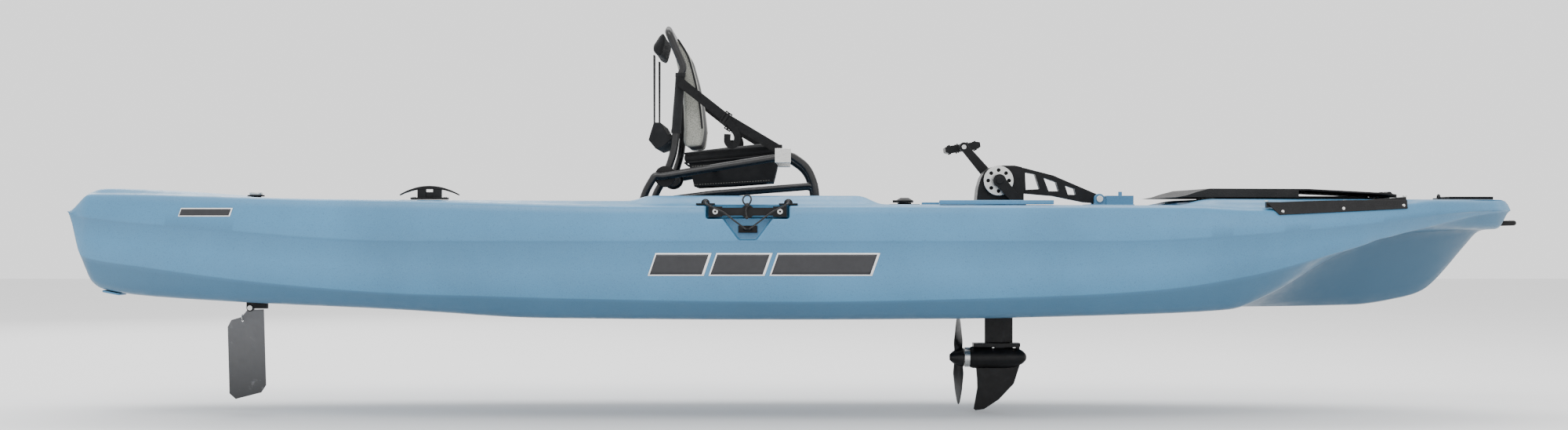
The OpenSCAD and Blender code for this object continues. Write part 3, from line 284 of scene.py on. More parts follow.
# Roughness, specular level, clouds, their span, shades of the trim's colour, gloss and grain
BLACKS = {
    "moulded_black": (0.46, 0.22, (38, 5), (0.4, 0.7), (1, 1.9), (60, 4, 0.40, 0.58), (900, 2, 0.25, 0.0003)),
    "glass_filled_black": (0.38, 0.22, (50, 4), (0.4, 0.75), (0.9, 2.1), (120, 3, 0.30, 0.50),
                           (520, 3, 0.20, 0.0004)),
    "anodised_tube": (0.28, 0.45, (70, 5), (0.45, 0.8), (1, 3), (160, 3, 0.24, 0.38), (700, 2, 0.12, 0.0002)),
    "propeller_nylon": (0.34, 0.3, (60, 4), (0.4, 0.7), (0.8, 1.7), (90, 3, 0.26, 0.42),
                        (480, 2, 0.15, 0.0003)),
}


def black(name):
    roughness, specular, clouds, span, shades, gloss, grain = BLACKS[name]
    tones = [scaled(colours().trim, shade) for shade in shades]
    return mottled(Shader(name, roughness, Specular_IOR_Level=specular), clouds, span, tones, gloss, grain)


def pebbled_lid():
    t = colours().trim
    s = Shader("pebbled_lid", 0.55, Specular_IOR_Level=0.3)
    pebbles = s.cells(330)
    s.colour(s.mix(s.ramp(pebbles, (0.1, 0.0), (0.6, 1.0)), scaled(t, 2.3), scaled(t, 1.1)))
    s.rough(s.noise(30, 4), 0.48, 0.66)
    s.bump(s.ramp(pebbles, (0.0, 1.0), (0.6, 0.0)), 0.55, 0.0007)
    return s.bump(s.noise(9, 3), 0.08, 0.003)


def brushed_steel():
    s = Shader("brushed_steel", 0.28, 1.0)
    lines = s.noise(90, 4, 0.7, s.mapping((1, 1, 14)))
    s.colour(s.mix(s.ramp(lines, (0.3, 0.0), (0.7, 1.0)), (0.50, 0.50, 0.49), (0.74, 0.74, 0.72)))
    s.rough(lines, 0.20, 0.38)
    return s.bump(lines, 0.12, 0.0002)


def cast_alloy():
    return mottled(Shader("cast_alloy", 0.42, 0.85), (45, 5), (0.35, 0.7),
                   ((0.20, 0.205, 0.21), (0.34, 0.345, 0.35)), (80, 4, 0.34, 0.55), (650, 3, 0.30, 0.0004))


def machined_brass():
    s = Shader("machined_brass", 0.25, 1.0)
    s.colour(s.mix(s.noise(120, 3), (0.62, 0.43, 0.19), (0.80, 0.60, 0.30)))
    return s.rough(s.noise(200, 2), 0.2, 0.4)


def seat_cloth():
    base = colours().cloth
    s = Shader("seat_cloth", 0.82, Sheen_Weight=0.05, Sheen_Roughness=0.5, Specular_IOR_Level=0.25)
    warp, weft_a, weft_b = (s.wave(520, axis) for axis in "YXZ")
    weave = s.math("MULTIPLY", warp, s.math("MAXIMUM", weft_a, weft_b))
    tone = s.mix(s.ramp(s.noise(24, 5), (0.35, 0.0), (0.7, 1.0)), scaled(base, 0.85), scaled(base, 1.35))
    s.colour(s.mix(s.ramp(weave, (0.1, 0.0), (0.7, 0.55)), tone, scaled(base, 1.9)))
    s.rough(s.noise(40, 3), 0.74, 0.92)
    s.bump(weave, 0.5, 0.0005)
    return s.bump(s.noise(160, 3), 0.16, 0.001)


def back_cloth():
    """Pale open mesh at the sides of the backrest and dark cloth down its middle"""
    c = colours()
    s = Shader("back_cloth", 0.85, Sheen_Weight=0.05)
    holes = s.cells(420, s.mapping())
    open_mesh = s.mix(s.ramp(holes, (0.2, 1.0), (0.5, 0.0)), c.mesh_cloth, scaled(c.mesh_cloth, 0.35))
    dark = s.mix(s.ramp(holes, (0.2, 0.6), (0.5, 0.0)), scaled(c.cloth, 1.3), scaled(c.cloth, 0.5))
    side = s.math("ABSOLUTE", s.split()["Y"], 0)
    across = s.ramp(side, (0.098, 0.0), (0.102, 1.0))
    s.colour(s.mix(across, dark, open_mesh))
    s.rough(s.noise(40, 3), 0.78, 0.92)
    s.bump(holes, 0.5, 0.0008)
    return s.bump(s.noise(60, 3), 0.2, 0.002)


def webbing():
    t = colours().trim
    s = Shader("webbing", 0.78, Sheen_Weight=0.04, Specular_IOR_Level=0.25)
    ribs = s.wave(9, "X", s.mapping(uv=True))
    picks = s.wave(160, "Y", s.mapping(uv=True))
    weave = s.math("MULTIPLY", ribs, picks)
    s.colour(s.mix(weave, scaled(t, 0.8), scaled(t, 2.6)))
    s.rough(s.noise(80, 3), 0.7, 0.9)
    return s.bump(weave, 0.6, 0.0006)


def elastic():
    t = colours().trim
    s = Shader("braided_elastic", 0.75, Sheen_Weight=0.04)
    braid = s.cells(800)
    fleck = s.ramp(s.noise(600, 2), (0.60, 0.0), (0.66, 1.0))
    s.colour(s.mix(fleck, scaled(t, 1.1), (0.08, 0.08, 0.08)))
    return s.bump(braid, 0.5, 0.0005).rough(s.noise(200, 2), 0.65, 0.85)


def foam_rubber():
    s = Shader("foam_rubber", 0.9)
    s.colour(s.mix(s.noise(300, 3), (0.02, 0.02, 0.02), (0.07, 0.07, 0.07)))
    return s.bump(s.noise(800, 3), 0.4, 0.0005)


def rudder_plate():
    s = Shader("rudder_plate", 0.4, 0.3)
    height = s.split()["Z"]
    fade = s.ramp(s.math("ADD", s.math("MULTIPLY", height, 4.0), 1.0), (0.05, 0.0), (0.95, 1.0))
    tone = s.mix(fade, (0.035, 0.036, 0.038), (0.14, 0.14, 0.145))
    worn = s.ramp(s.noise(24, 6, 0.7), (0.60, 0.0), (0.72, 0.5))
    s.colour(s.mix(worn, tone, (0.24, 0.24, 0.25)))
    s.rough(s.noise(70, 4), 0.32, 0.5)
    return s.bump(s.noise(300, 3), 0.15, 0.0004)


def graphic(name, roughness, tones, low, high):
    return mottled(Shader(name, roughness), (60, 4), None, tones, (90, 3, low, high), (420, 2, 0.1, 0.0004))


def stage_floor():
    s = Shader("studio_floor", 0.9)
    s.colour(s.mix(s.noise(2.0, 3), (0.80, 0.80, 0.80), (0.83, 0.83, 0.83)))
    return s


FINISHES = {
    "hull": hull_plastic,
    "black": partial(black, "moulded_black"),
    "lid": pebbled_lid,
    "drive": partial(black, "glass_filled_black"),
    "tube": partial(black, "anodised_tube"),
    "steel": brushed_steel,
    "alloy": cast_alloy,
    "brass": machined_brass,
    "cloth": seat_cloth,
    "back": back_cloth,
    "webbing": webbing,
    "elastic": elastic,
    "foam": foam_rubber,
    "propeller": partial(black, "propeller_nylon"),
    "rudder": rudder_plate,
    "graphic_black": partial(graphic, "graphic_black", 0.35,
                             ((0.008, 0.008, 0.010), (0.022, 0.022, 0.026)), 0.28, 0.42),
    "graphic_white": partial(graphic, "graphic_white", 0.4,
                             ((0.72, 0.73, 0.74), (0.86, 0.87, 0.87)), 0.32, 0.46),
    "floor": stage_floor,
}


# --------------------------------------------------------------- shaping tools
def point(x, y, z):
    """A place in metres from one in millimetres"""
    return Vector((x, y, z)) * MM


def box_mm(node):
    """A node's lowest and highest corners in millimetres"""
    low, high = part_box(node)
    return Vector(low) / MM, Vector(high) / MM


def vertices(geometry):
    return [g for g in geometry if isinstance(g, bmesh.types.BMVert)]


def outward(bm, gap=1e-5):
    """Merges doubles and turns every face outwards"""
    bmesh.ops.remove_doubles(bm, verts=bm.verts[:], dist=gap)
    bmesh.ops.recalc_face_normals(bm, faces=bm.faces[:])
    if bm.calc_volume(signed=True) < 0:
        bmesh.ops.reverse_faces(bm, faces=bm.faces[:])
    return bm


def to_mesh(bm, name):
    mesh = bpy.data.meshes.new(name)
    bm.to_mesh(mesh)
    bm.free()
    return mesh


def baked(obj):
    """The mesh that an object's curve or modifiers give, once the object itself is gone"""
    if not obj.users_collection:
        bpy.context.scene.collection.objects.link(obj)
    graph = bpy.context.evaluated_depsgraph_get()
    mesh = bpy.data.meshes.new_from_object(obj.evaluated_get(graph), depsgraph=graph)
    bpy.data.objects.remove(obj)
    return mesh


def place(name, shape, body, material, *nodes, sharp=38):
    """Puts a finished shape in the scene in its nodes' place, on its body unless it bends between two"""
    mesh = to_mesh(shape, name) if isinstance(shape, bmesh.types.BMesh) else shape
    mesh.shade_smooth()
    mesh.set_sharp_from_angle(angle=math.radians(sharp))
    obj = bpy.data.objects.new(name, mesh)
    bpy.context.scene.collection.objects.link(obj)
    mesh.materials.clear()
    mesh.materials.append(finish(material))
    if body:
        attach(obj, body)
    if nodes:
        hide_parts(*nodes)
    return obj


def weighted(obj):
    """Keeps broad flat faces flat in the shading beside their rounded edges"""
    modifier = obj.modifiers.new("weighted_normals", "WEIGHTED_NORMAL")
    modifier.keep_sharp = True
    return obj


def sharp_edges(bm, angle, edges=None):
    limit = math.radians(angle)
    return [e for e in (edges or bm.edges) if len(e.link_faces) == 2 and e.calc_face_angle(0) > limit]


def bevel(bm, edges, offset, segments, clamp=True):
    bmesh.ops.bevel(bm, geom=edges, offset=offset, offset_type="OFFSET", segments=segments, profile=0.5,
                    affect="EDGES", clamp_overlap=clamp, material=-1)


def round_edges(bm, offset, angle=32, segments=2, edges=None, clamp=True):
    chosen = sharp_edges(bm, angle, edges)
    if chosen:
        bevel(bm, chosen, offset, segments, clamp)
    return bm


def islands(bm):
    """The edges of each separate solid"""
    left = set(bm.verts)
    while left:
        front = [left.pop()]
        edges = set()
        while front:
            for edge in front.pop().link_edges:
                edges.add(edge)
                for vert in edge.verts:
                    if vert in left:
                        left.discard(vert)
                        front.append(vert)
        yield list(edges)


def node_shape(node):
    """A copy of a frame node's surface with its seams merged and its flat faces whole"""
    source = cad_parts[node]
    bm = bmesh.new()
    bm.from_mesh(source.data)
    bm.transform(source.matrix_world)
    bmesh.ops.remove_doubles(bm, verts=bm.verts[:], dist=2e-5)
    bmesh.ops.dissolve_limit(bm, angle_limit=math.radians(0.5), verts=bm.verts[:], edges=bm.edges[:])
    return bm


def refined(node, body, material, edge=None, segments=2):
    """A frame node with its moulded or machined edges rounded"""
    bm = node_shape(node)
    for edges in list(islands(bm)):
        alive = [e for e in edges if e.is_valid]
        round_edges(bm, edge or sizes().edge, segments=segments, edges=alive)
    return weighted(place(node + "_finish", bm, body, material, node))


def refine_all(body, *rows):
    """Finishes several nodes of one body, each row being node, material, edge radius and segments"""
    for node, material, edge, *segments in rows:
        refined(node, body, material, edge, *segments)


def slab(bm, outline, low, high):
    """A plate of a side outline, (x, z) in millimetres, from one place across the boat to another"""
    face = bm.faces.new([bm.verts.new(point(x, low, z)) for x, z in outline])
    grown = bmesh.ops.extrude_face_region(bm, geom=[face])["geom"]
    bmesh.ops.translate(bm, vec=point(0, high - low, 0), verts=vertices(grown))
    return vertices(grown) + list(face.verts)


TURNS = {"X": (0, math.pi / 2, 0), "Y": (math.pi / 2, 0, 0), "Z": (0, 0, 0)}


def disc(bm, centre, radius, depth, axis, sides):
    """A closed cylinder about one axis, sizes in millimetres"""
    turn = bpy_matrix(TURNS[axis], point(*centre))
    return bmesh.ops.create_cone(bm, cap_ends=True, segments=sides, radius1=radius * MM,
                                 radius2=radius * MM, depth=depth * MM, matrix=turn)["verts"]


def bpy_matrix(turn, place_at):
    return Matrix.Translation(place_at) @ Euler(turn).to_matrix().to_4x4()


def block(bm, centre, size, turn=(0, 0, 0)):
    matrix = bpy_matrix(turn, point(*centre)) @ Matrix.Diagonal((*(s * MM for s in size), 1))
    return bmesh.ops.create_cube(bm, size=1, matrix=matrix)["verts"]


def rounded_path(points, bend, steps=5):
    """A path whose corners are turned on arcs, in millimetres"""
    path = [Vector(points[0])]
    for before, corner, after in zip(points, points[1:], points[2:]):
        corner = Vector(corner)
        back, ahead = Vector(before) - corner, Vector(after) - corner
        reach = min(bend, back.length * 0.45, ahead.length * 0.45)
        start, stop = corner + back.normalized() * reach, corner + ahead.normalized() * reach
        for i in range(steps + 1):
            t = i / steps
            path.append(start * (1 - t) ** 2 + corner * 2 * t * (1 - t) + stop * t ** 2)
    path.append(Vector(points[-1]))
    return path


def rod(name, points, radius, smooth=False, closed=False):
    """The mesh of a round tube or cord along a path in millimetres"""
    curve = bpy.data.curves.new(name, "CURVE")
    curve.dimensions = "3D"
    curve.bevel_depth = radius * MM
    curve.bevel_resolution = 5
    curve.resolution_u = 8
    curve.use_fill_caps = not closed
    spline = curve.splines.new("BEZIER" if smooth else "POLY")
    knots = spline.bezier_points if smooth else spline.points
    knots.add(len(points) - 1)
    for knot, place_at in zip(knots, points):
        knot.co = point(*place_at) if smooth else (*point(*place_at), 1)
        if smooth:
            knot.handle_left_type = knot.handle_right_type = "AUTO"
    spline.use_cyclic_u = closed
    return baked(bpy.data.objects.new(name, curve))


def gathered(*meshes):
    """One shape from several meshes"""
    bm = bmesh.new()
    for mesh in meshes:
        bm.from_mesh(mesh)
        bpy.data.meshes.remove(mesh)
    return outward(bm)


def thickened(obj, thickness):
    """Gives a surface a thickness in metres, half to each side"""
    modifier = obj.modifiers.new("thickness", "SOLIDIFY")
    modifier.thickness, modifier.offset = thickness, 0
    return obj


def subdivided(bm, levels, name):
    obj = bpy.data.objects.new(name, to_mesh(bm, name))
    modifier = obj.modifiers.new("smooth", "SUBSURF")
    modifier.levels = modifier.render_levels = levels
    return baked(obj)


CLOTH_FRAMES = 20


def stuffed(bm, name, voxel, pressure, cap):
    """A padded shape blown up as cloth, no point of it moving further than the cap in millimetres"""
    mesh = to_mesh(outward(bm), name)
    start = bpy.data.objects.new(name, mesh)
    remesh = start.modifiers.new("remesh", "REMESH")
    remesh.mode = "VOXEL"
    remesh.voxel_size = voxel * MM
    mesh = baked(start)
    flat = [v.co.copy() for v in mesh.vertices]
    obj = bpy.data.objects.new(name, mesh)
    scene = bpy.context.scene
    scene.collection.objects.link(obj)
    cloth = obj.modifiers.new("cloth", "CLOTH")
    cloth.settings.use_pressure = True
    cloth.settings.uniform_pressure_force = pressure
    cloth.settings.effector_weights.gravity = 0
    cloth.point_cache.frame_start, cloth.point_cache.frame_end = 1, CLOTH_FRAMES
    for step in range(1, CLOTH_FRAMES + 1):
        scene.frame_set(step)
    blown = baked(obj)
    scene.frame_set(1)
    for vert, home in zip(blown.vertices, flat):
        move = vert.co - home
        if move.length > cap * MM:
            vert.co = home + move.normalized() * cap * MM
    return smoothed(blown, name)


def smoothed(mesh, name):
    obj = bpy.data.objects.new(name, mesh)
    calm = obj.modifiers.new("calm", "SMOOTH")
    calm.factor, calm.iterations = 0.5, 3
    modifier = obj.modifiers.new("smooth", "SUBSURF")
    modifier.levels = modifier.render_levels = 1
    return baked(obj)


# ------------------------------------------------------------------- hull form
HULL_LENGTH, HULL_BEAM = 3830, 900
HALF = HULL_LENGTH / 2
RIM, COAMING = 295, 322
PLAN = ((-1915, 0.58), (-1850, 0.66), (-1600, 0.79), (-1000, 0.955), (-200, 1), (200, 1), (900, 0.935),
        (1400, 0.73), (1700, 0.48), (1850, 0.27), (1900, 0.14), (1915, 0.09))
RIM_LINE = ((-1915, 283), (-1883, 307), (-1852, 328), (-1245, 313), (-970, RIM + 14), (-466, RIM + 2),
            (1000, RIM), (1140, 289), (1330, 289), (1560, 302), (1650, 312), (1881, 312), (1906, 300),
            (1915, 286))
DECK = ((-1915, 285), (-1870, 326), (-1819, 342), (-1389, 317), (-1000, RIM + 17), (-440, RIM + 14),
        (-395, COAMING), (147, COAMING), (205, RIM + 5), (960, RIM + 3), (1060, 314), (1640, 314),
        (1881, 314), (1906, 302), (1915, 288))
PONTOON = ((-1915, 282), (-1900, 219), (-1875, 138), (-1855, 94), (-1830, 78), (-1686, 58), (-1029, 25),
           (-660, 4), (-47, 0), (362, 2), (771, 10), (1108, 24), (1225, 66), (1365, 146), (1435, 181),
           (1500, 211), (1600, 226), (1750, 233), (1870, 234), (1915, 284))
TUNNEL = ((-1915, 283), (-1900, 240), (-1875, 180), (-1840, 140), (-1780, 124), (-1400, 122),
          (-1150, 90), (-700, 62), (400, 52), (900, 36), (1150, 24), (1493, 29), (1632, 50), (1684, 67),
          (1713, 89), (1807, 197), (1838, 230), (1880, 236), (1915, 285))
UPPER_CHINE = ((-1915, 283), (-1880, 272), (-1600, 246), (-1000, 209), (800, 209), (1100, 222),
               (1300, 238), (1915, 286))
LOWER_CHINE = ((-1915, 283), (-1880, 170), (-1700, 140), (-1330, 96), (-970, 72), (0, 54), (600, 66),
               (900, 82), (1150, 118), (1400, 180), (1600, 234), (1915, 285))
LOW_SHARE = ((-1915, 0.96), (-1400, 0.93), (0, 0.935), (900, 0.92), (1400, 0.88), (1700, 0.92), (1915, 0.96))
BOTTOM_SHARE = ((-1915, 0.9), (-1400, 0.83), (0, 0.82), (900, 0.8), (1400, 0.74), (1700, 0.84), (1915, 0.9))
INNER_SHARE = ((-1915, 0.5), (-1400, 0.46), (-900, 0.34), (0, 0.3), (700, 0.34), (1100, 0.4),
               (1400, 0.42), (1700, 0.4), (1915, 0.3))
ROOF_HALF = ((-1915, 60), (-1850, 92), (-1400, 92), (-1000, 86), (400, 84), (900, 60), (1150, 26),
             (1600, 16), (1915, 10))


def knot_slopes(knots):
    rises = [(b[1] - a[1]) / (b[0] - a[0]) for a, b in zip(knots, knots[1:])]
    inner = [2 * p * q / (p + q) if p * q > 0 else 0 for p, q in zip(rises, rises[1:])]
    return [0] + inner + [0]


def curve_at(knots, x):
    """The height of a smooth line through the knots"""
    x = min(max(x, knots[0][0]), knots[-1][0])
    slopes = knot_slopes(knots)
    for i, (a, b) in enumerate(zip(knots, knots[1:])):
        if x <= b[0]:
            break
    width = b[0] - a[0]
    t = (x - a[0]) / width
    return ((2 * t ** 3 - 3 * t ** 2 + 1) * a[1] + (t ** 3 - 2 * t ** 2 + t) * width * slopes[i]
            + (3 * t ** 2 - 2 * t ** 3) * b[1] + (t ** 3 - t ** 2) * width * slopes[i + 1])


def half_beam(x):
    return HULL_BEAM / 2 * curve_at(PLAN, x)


def half_section(x):
    """The (y, z) points of one side of the hull from the middle of the deck down to the tunnel roof"""
    b = half_beam(x)
    rim = curve_at(RIM_LINE, x)
    deck = max(curve_at(DECK, x), rim + 0.5)
    low = min(curve_at(PONTOON, x), rim - 1)
    roof = min(curve_at(TUNNEL, x), rim - 0.5)
    up = min(max(curve_at(UPPER_CHINE, x), low + 0.4), rim - 0.4)
    down = min(max(curve_at(LOWER_CHINE, x), low + 0.2), up - 0.2)
    edge = min(14, (rim - low) / 4)
    crease = min(10, (up - down) / 4)
    bilge = min(14, (down - low) / 2)
    y_low, y_bottom = b * curve_at(LOW_SHARE, x), b * curve_at(BOTTOM_SHARE, x)
    inner = max(b * curve_at(INNER_SHARE, x), 3)
    y_roof = min(curve_at(ROOF_HALF, x), inner * 0.9)
    return ((0, deck), (0.45 * b, deck), (0.8 * b, deck), (0.84 * b, deck - 2), (0.885 * b, rim + 1),
            (b - min(26, b / 6), rim), (b - min(12, b / 12), rim - 3), (b - min(6, b / 20), rim - edge),
            (b, up), (b - min(5, b / 20), up - crease), (y_low, down),
            (y_low - min(5, b / 20), down - crease / 2), (y_bottom, low + bilge),
            (y_bottom - min(24, b / 9), low), (inner + min(16, b / 14), low),
            (inner, low + min(8, max(roof - low, 0) / 6)), (y_roof, roof), (0, roof))


def side_at(x, z):
    """How far out the hull's side stands at a height"""
    section = half_section(x)[6:14]
    for (y_a, z_a), (y_b, z_b) in zip(section, section[1:]):
        if z_b <= z <= z_a and z_a > z_b:
            return y_a + (y_b - y_a) * (z_a - z) / (z_a - z_b)
    return section[-1][0] if z < section[-1][1] else section[0][0]


# --------------------------------------------------------------- the boat hull
STATIONS, LIP = 240, 9
WELLS = {
    "tank_well": (-1400, -650, -262, 262, 175),
    "seat_well": (-600, 175, -332, 332, 235),
    "left_foot_well": (165, 1000, 68, 329, 115),
    "right_foot_well": (165, 1000, -329, -68, 115),
}
SCUPPERS = ((-1250, 170), (-800, 190), (300, 150), (760, 150))


def hull_skin():
    """The hull's closed outside, lofted through its sections"""
    ends = [-HALF + HULL_LENGTH * (0.5 - 0.5 * math.cos(math.pi * i / STATIONS)) for i in range(STATIONS + 1)]
    even = [-HALF + HULL_LENGTH * i / STATIONS for i in range(STATIONS + 1)]
    stations = [0.72 * e + 0.28 * c for e, c in zip(even, ends)]
    bm = bmesh.new()
    section = half_section(stations[0])
    around = len(section) * 2 - 2
    bmesh.ops.create_grid(bm, x_segments=STATIONS, y_segments=around, size=0.5)
    bm.verts.ensure_lookup_table()
    rings = {}
    for vert in bm.verts:
        i = round((vert.co.x + 0.5) * STATIONS)
        j = round((vert.co.y + 0.5) * around) % around
        rings.setdefault(i, []).append((vert, j))
    for i, members in rings.items():
        section = half_section(stations[i])
        ring = [(y, z) for y, z in section] + [(-y, z) for y, z in section[-2:0:-1]]
        for vert, j in members:
            vert.co = point(stations[i], *ring[j])
    bmesh.ops.remove_doubles(bm, verts=bm.verts[:], dist=1e-5)
    bmesh.ops.holes_fill(bm, edges=[e for e in bm.edges if e.is_boundary], sides=0)
    outward(bm)
    crease = bm.edges.layers.float.new("crease_edge")
    for edge in bm.edges:
        if chine_edge(edge, 0.2) or all(abs(v.co.x) > (HALF - 0.5) * MM for v in edge.verts):
            edge[crease] = 1
    return subdivided(bm, 1, "hull_skin")


def chine_edge(edge, near=2.0):
    """Whether an edge lies along one of the hull's two chines"""
    for vert in edge.verts:
        x, y, z = vert.co / MM
        if abs(x) > HALF - 30:
            return False
        section = half_section(x)
        if min(math.hypot(abs(y) - a, z - b) for a, b in (section[8], section[9], section[10])) > near:
            return False
    return abs(edge.verts[0].co.x - edge.verts[1].co.x) > 0.002


def shade_below_chine(mesh):
    """Marks painted shade on each point of the skin from how far it lies below the lower chine, darker still
    under the middle of the bottom, with a soft painted shadow fading over 42 mm below the upper chine
    """
    shade = mesh.attributes.new("shade", "FLOAT", "POINT")
    for vert, value in zip(mesh.vertices, shade.data):
        x, y, z = vert.co / MM
        section = half_section(max(-HALF + 1, min(HALF - 1, x)))
        up, down = section[8][1], section[10][1]
        flank = abs(y) > half_beam(x) * 0.55
        value.value = min(1.0, max(0.0, (down - z) / 5)) * (0.62 if flank else 0.9)
        if flank and z <= up:
            value.value = max(value.value, 0.26 * max(0.0, 1 - (up - z) / 42))


def well_cutter(x0, x1, y0, y1, floor, top, draft=14, corner=34, lip=LIP, lip_at=None):
    """A tapered well with rounded corners, flaring into the deck with a soft lip"""
    bm = bmesh.new()
    block(bm, ((x0 + x1) / 2, (y0 + y1) / 2, (floor + top) / 2), (x1 - x0, y1 - y0, top - floor))
    low = [v for v in bm.verts if v.co.z < (floor + 1) * MM]
    middle = Vector(((x0 + x1) / 2, (y0 + y1) / 2, 0)) * MM
    scale = Vector((1 - 2 * draft / (x1 - x0), 1 - 2 * draft / (y1 - y0), 1))
    for vert in low:
        vert.co = middle + Vector(((vert.co.x - middle.x) * scale.x, (vert.co.y - middle.y) * scale.y,
                                   vert.co.z))
    bm.edges.ensure_lookup_table()
    upright = [e for e in bm.edges if abs(e.verts[0].co.z - e.verts[1].co.z) > 0.5 * (top - floor) * MM]
    bevel(bm, upright, corner * MM, 6)
    foot = [e for e in bm.edges if e.calc_length() > 0 and all(v.co.z < (floor + 1) * MM for v in e.verts)
            and e.calc_face_angle(0) > 0.5]
    bevel(bm, foot, min(22, corner) * MM, 5)
    if lip_at is not None:
        flare_lip(bm, lip_at, lip, middle)
    return outward(bm)


def flare_lip(bm, deck, lip, middle):
    """Cuts rings into a cutter's walls below the deck and spreads them to a quarter round"""
    for k in range(6):
        height = (deck - lip + lip * k / 5) * MM
        bmesh.ops.bisect_plane(bm, geom=bm.verts[:] + bm.edges[:] + bm.faces[:], dist=1e-6,
                               plane_co=(0, 0, height), plane_no=(0, 0, 1))
    bm.normal_update()
    bmesh.ops.recalc_face_normals(bm, faces=bm.faces[:])
    shifts = {}
    for vert in bm.verts:
        up = vert.co.z / MM - (deck - lip)
        if up < -0.01:
            continue
        rise = min(up / lip, 1.0)
        spread = lip * (1 - math.sqrt(max(0.0, 1 - rise ** 2)))
        flat = Vector((vert.normal.x, vert.normal.y, 0))
        if flat.length > 1e-4:
            shifts[vert] = flat.normalized() * spread * MM
    for vert, shift in shifts.items():
        vert.co += shift


def volume_of(mesh):
    bm = bmesh.new()
    bm.from_mesh(mesh)
    volume = bm.calc_volume(signed=True)
    bm.free()
    return volume


def cut_once(mesh, tool):
    obj = bpy.data.objects.new("carved", mesh.copy())
    cut = obj.modifiers.new("cut", "BOOLEAN")
    cut.operation, cut.solver, cut.object = "DIFFERENCE", "EXACT", tool
    return baked(obj)


def carve(mesh, cutters):
    """Takes the cutters out of a mesh, one at a time"""
    for number, cutter in enumerate(cutters):
        outward(cutter)
        room = cutter.calc_volume(signed=True)
        tool = bpy.data.objects.new("cutter", to_mesh(cutter, "cutter"))
        bpy.context.scene.collection.objects.link(tool)
        before = volume_of(mesh)
        for nudge in (0, 0.00007, -0.00011, 0.00017, -0.00023, 0.00031):
            tool.location = (nudge, nudge * 0.7, nudge * 0.3)
            bpy.context.view_layer.update()
            result = cut_once(mesh, tool)
            if before - room - 1e-6 <= volume_of(result) < before:
                break
        else:
            raise RuntimeError(f"cut {number} failed: {before:.6f} less {room:.6f} "
                               f"gave {volume_of(result):.6f}")
        bpy.data.objects.remove(tool)
        mesh = result
    return mesh


RECESS_X, RECESS_HALF, RECESS_DEEP = -139, 105.5, 44


def recess_cutters(side):
    """The grip recess in one flank and the sloped hollow under it"""
    skin = half_beam(RECESS_X)
    deep = RECESS_DEEP
    upper = bmesh.new()
    block(upper, (RECESS_X, side * (skin - deep + 60), 281), (2 * RECESS_HALF, 120, 38))
    round_edges(upper, 6 * MM, 30, 4)
    lower = bmesh.new()
    inner, outer = side * (skin - deep), side * (skin + 60)
    slab(lower, [(RECESS_X - 64, 264), (RECESS_X - 22, 208), (RECESS_X + 22, 208), (RECESS_X + 64, 264)],
         min(inner, outer), max(inner, outer))
    bmesh.ops.recalc_face_normals(lower, faces=lower.faces[:])
    edges = [e for e in lower.edges if min(v.co.z for v in e.verts) < 262 * MM]
    bevel(lower, edges, 6 * MM, 4)
    return [upper, lower]


class KAYAK_OT_hull(bpy.types.Operator):
    """Lofts the hull and cuts its wells, drive slot, scuppers and recesses"""

    bl_idname = "kayak.hull"
    bl_label = "Hull"

    def execute(self, context):
        cutters = []
        for x0, x1, y0, y1, floor in WELLS.values():
            deck = curve_at(DECK, (x0 + x1) / 2) if x0 < 0 else RIM + 3
            if x0 < -1000:
                deck = curve_at(DECK, -1000)
            cutters.append(well_cutter(x0, x1, y0, y1, floor, deck + 60, lip_at=deck))
        cutters.append(well_cutter(195, 632, -36, 36, -40, RIM + 70, draft=0.5, corner=20, lip=6,
                                   lip_at=RIM + 3))
        cutters.append(well_cutter(1130, 1490, -150, 150, 240, 400, draft=6, corner=40, lip=5, lip_at=314))
        cutters.append(well_cutter(1150, 1340, -130, 130, 176, 300, draft=6, corner=40))
        for x, y in SCUPPERS:
            for side in (STARBOARD, PORT):
                hole = bmesh.new()
                disc(hole, (x, side * y, 120), 14, 500, "Z", 28)
                cutters.append(hole)
        for side in (STARBOARD, PORT):
            cutters += recess_cutters(side)
        grip = bmesh.new()
        block(grip, (1902.5, 0, 232), (115, 68, 68))
        round_edges(grip, 8 * MM, 30, 4)
        cutters.append(grip)
        boss = bmesh.new()
        disc(boss, (-1481, 0, 200), 14, 400, "Z", 28)
        cutters.append(boss)
        mesh = carve(hull_skin(), cutters)
        bm = bmesh.new()
        bm.from_mesh(mesh)
        bmesh.ops.remove_doubles(bm, verts=bm.verts[:], dist=0.0008)
        bmesh.ops.dissolve_degenerate(bm, dist=0.0004, edges=bm.edges[:])
        near = [e for e in sharp_edges(bm, 42) if recess_edge(e)]
        round_edges(bm, 0.0032, 42, 3, near, clamp=False)
        hull = place("hull", bm, "hull", "hull", "boat_hull", sharp=48)
        # paints shade below the chines into the hull's colour through the skin's shade attribute
        shade_below_chine(hull.data)
        return {"FINISHED"}


def recess_edge(edge):
    """Whether an edge lies round a grip recess in the flank"""
    middle = (edge.verts[0].co + edge.verts[1].co) / 2 / MM
    return abs(middle.x - RECESS_X) < RECESS_HALF + 8 and abs(middle.y) > 380 and 200 < middle.z < 306


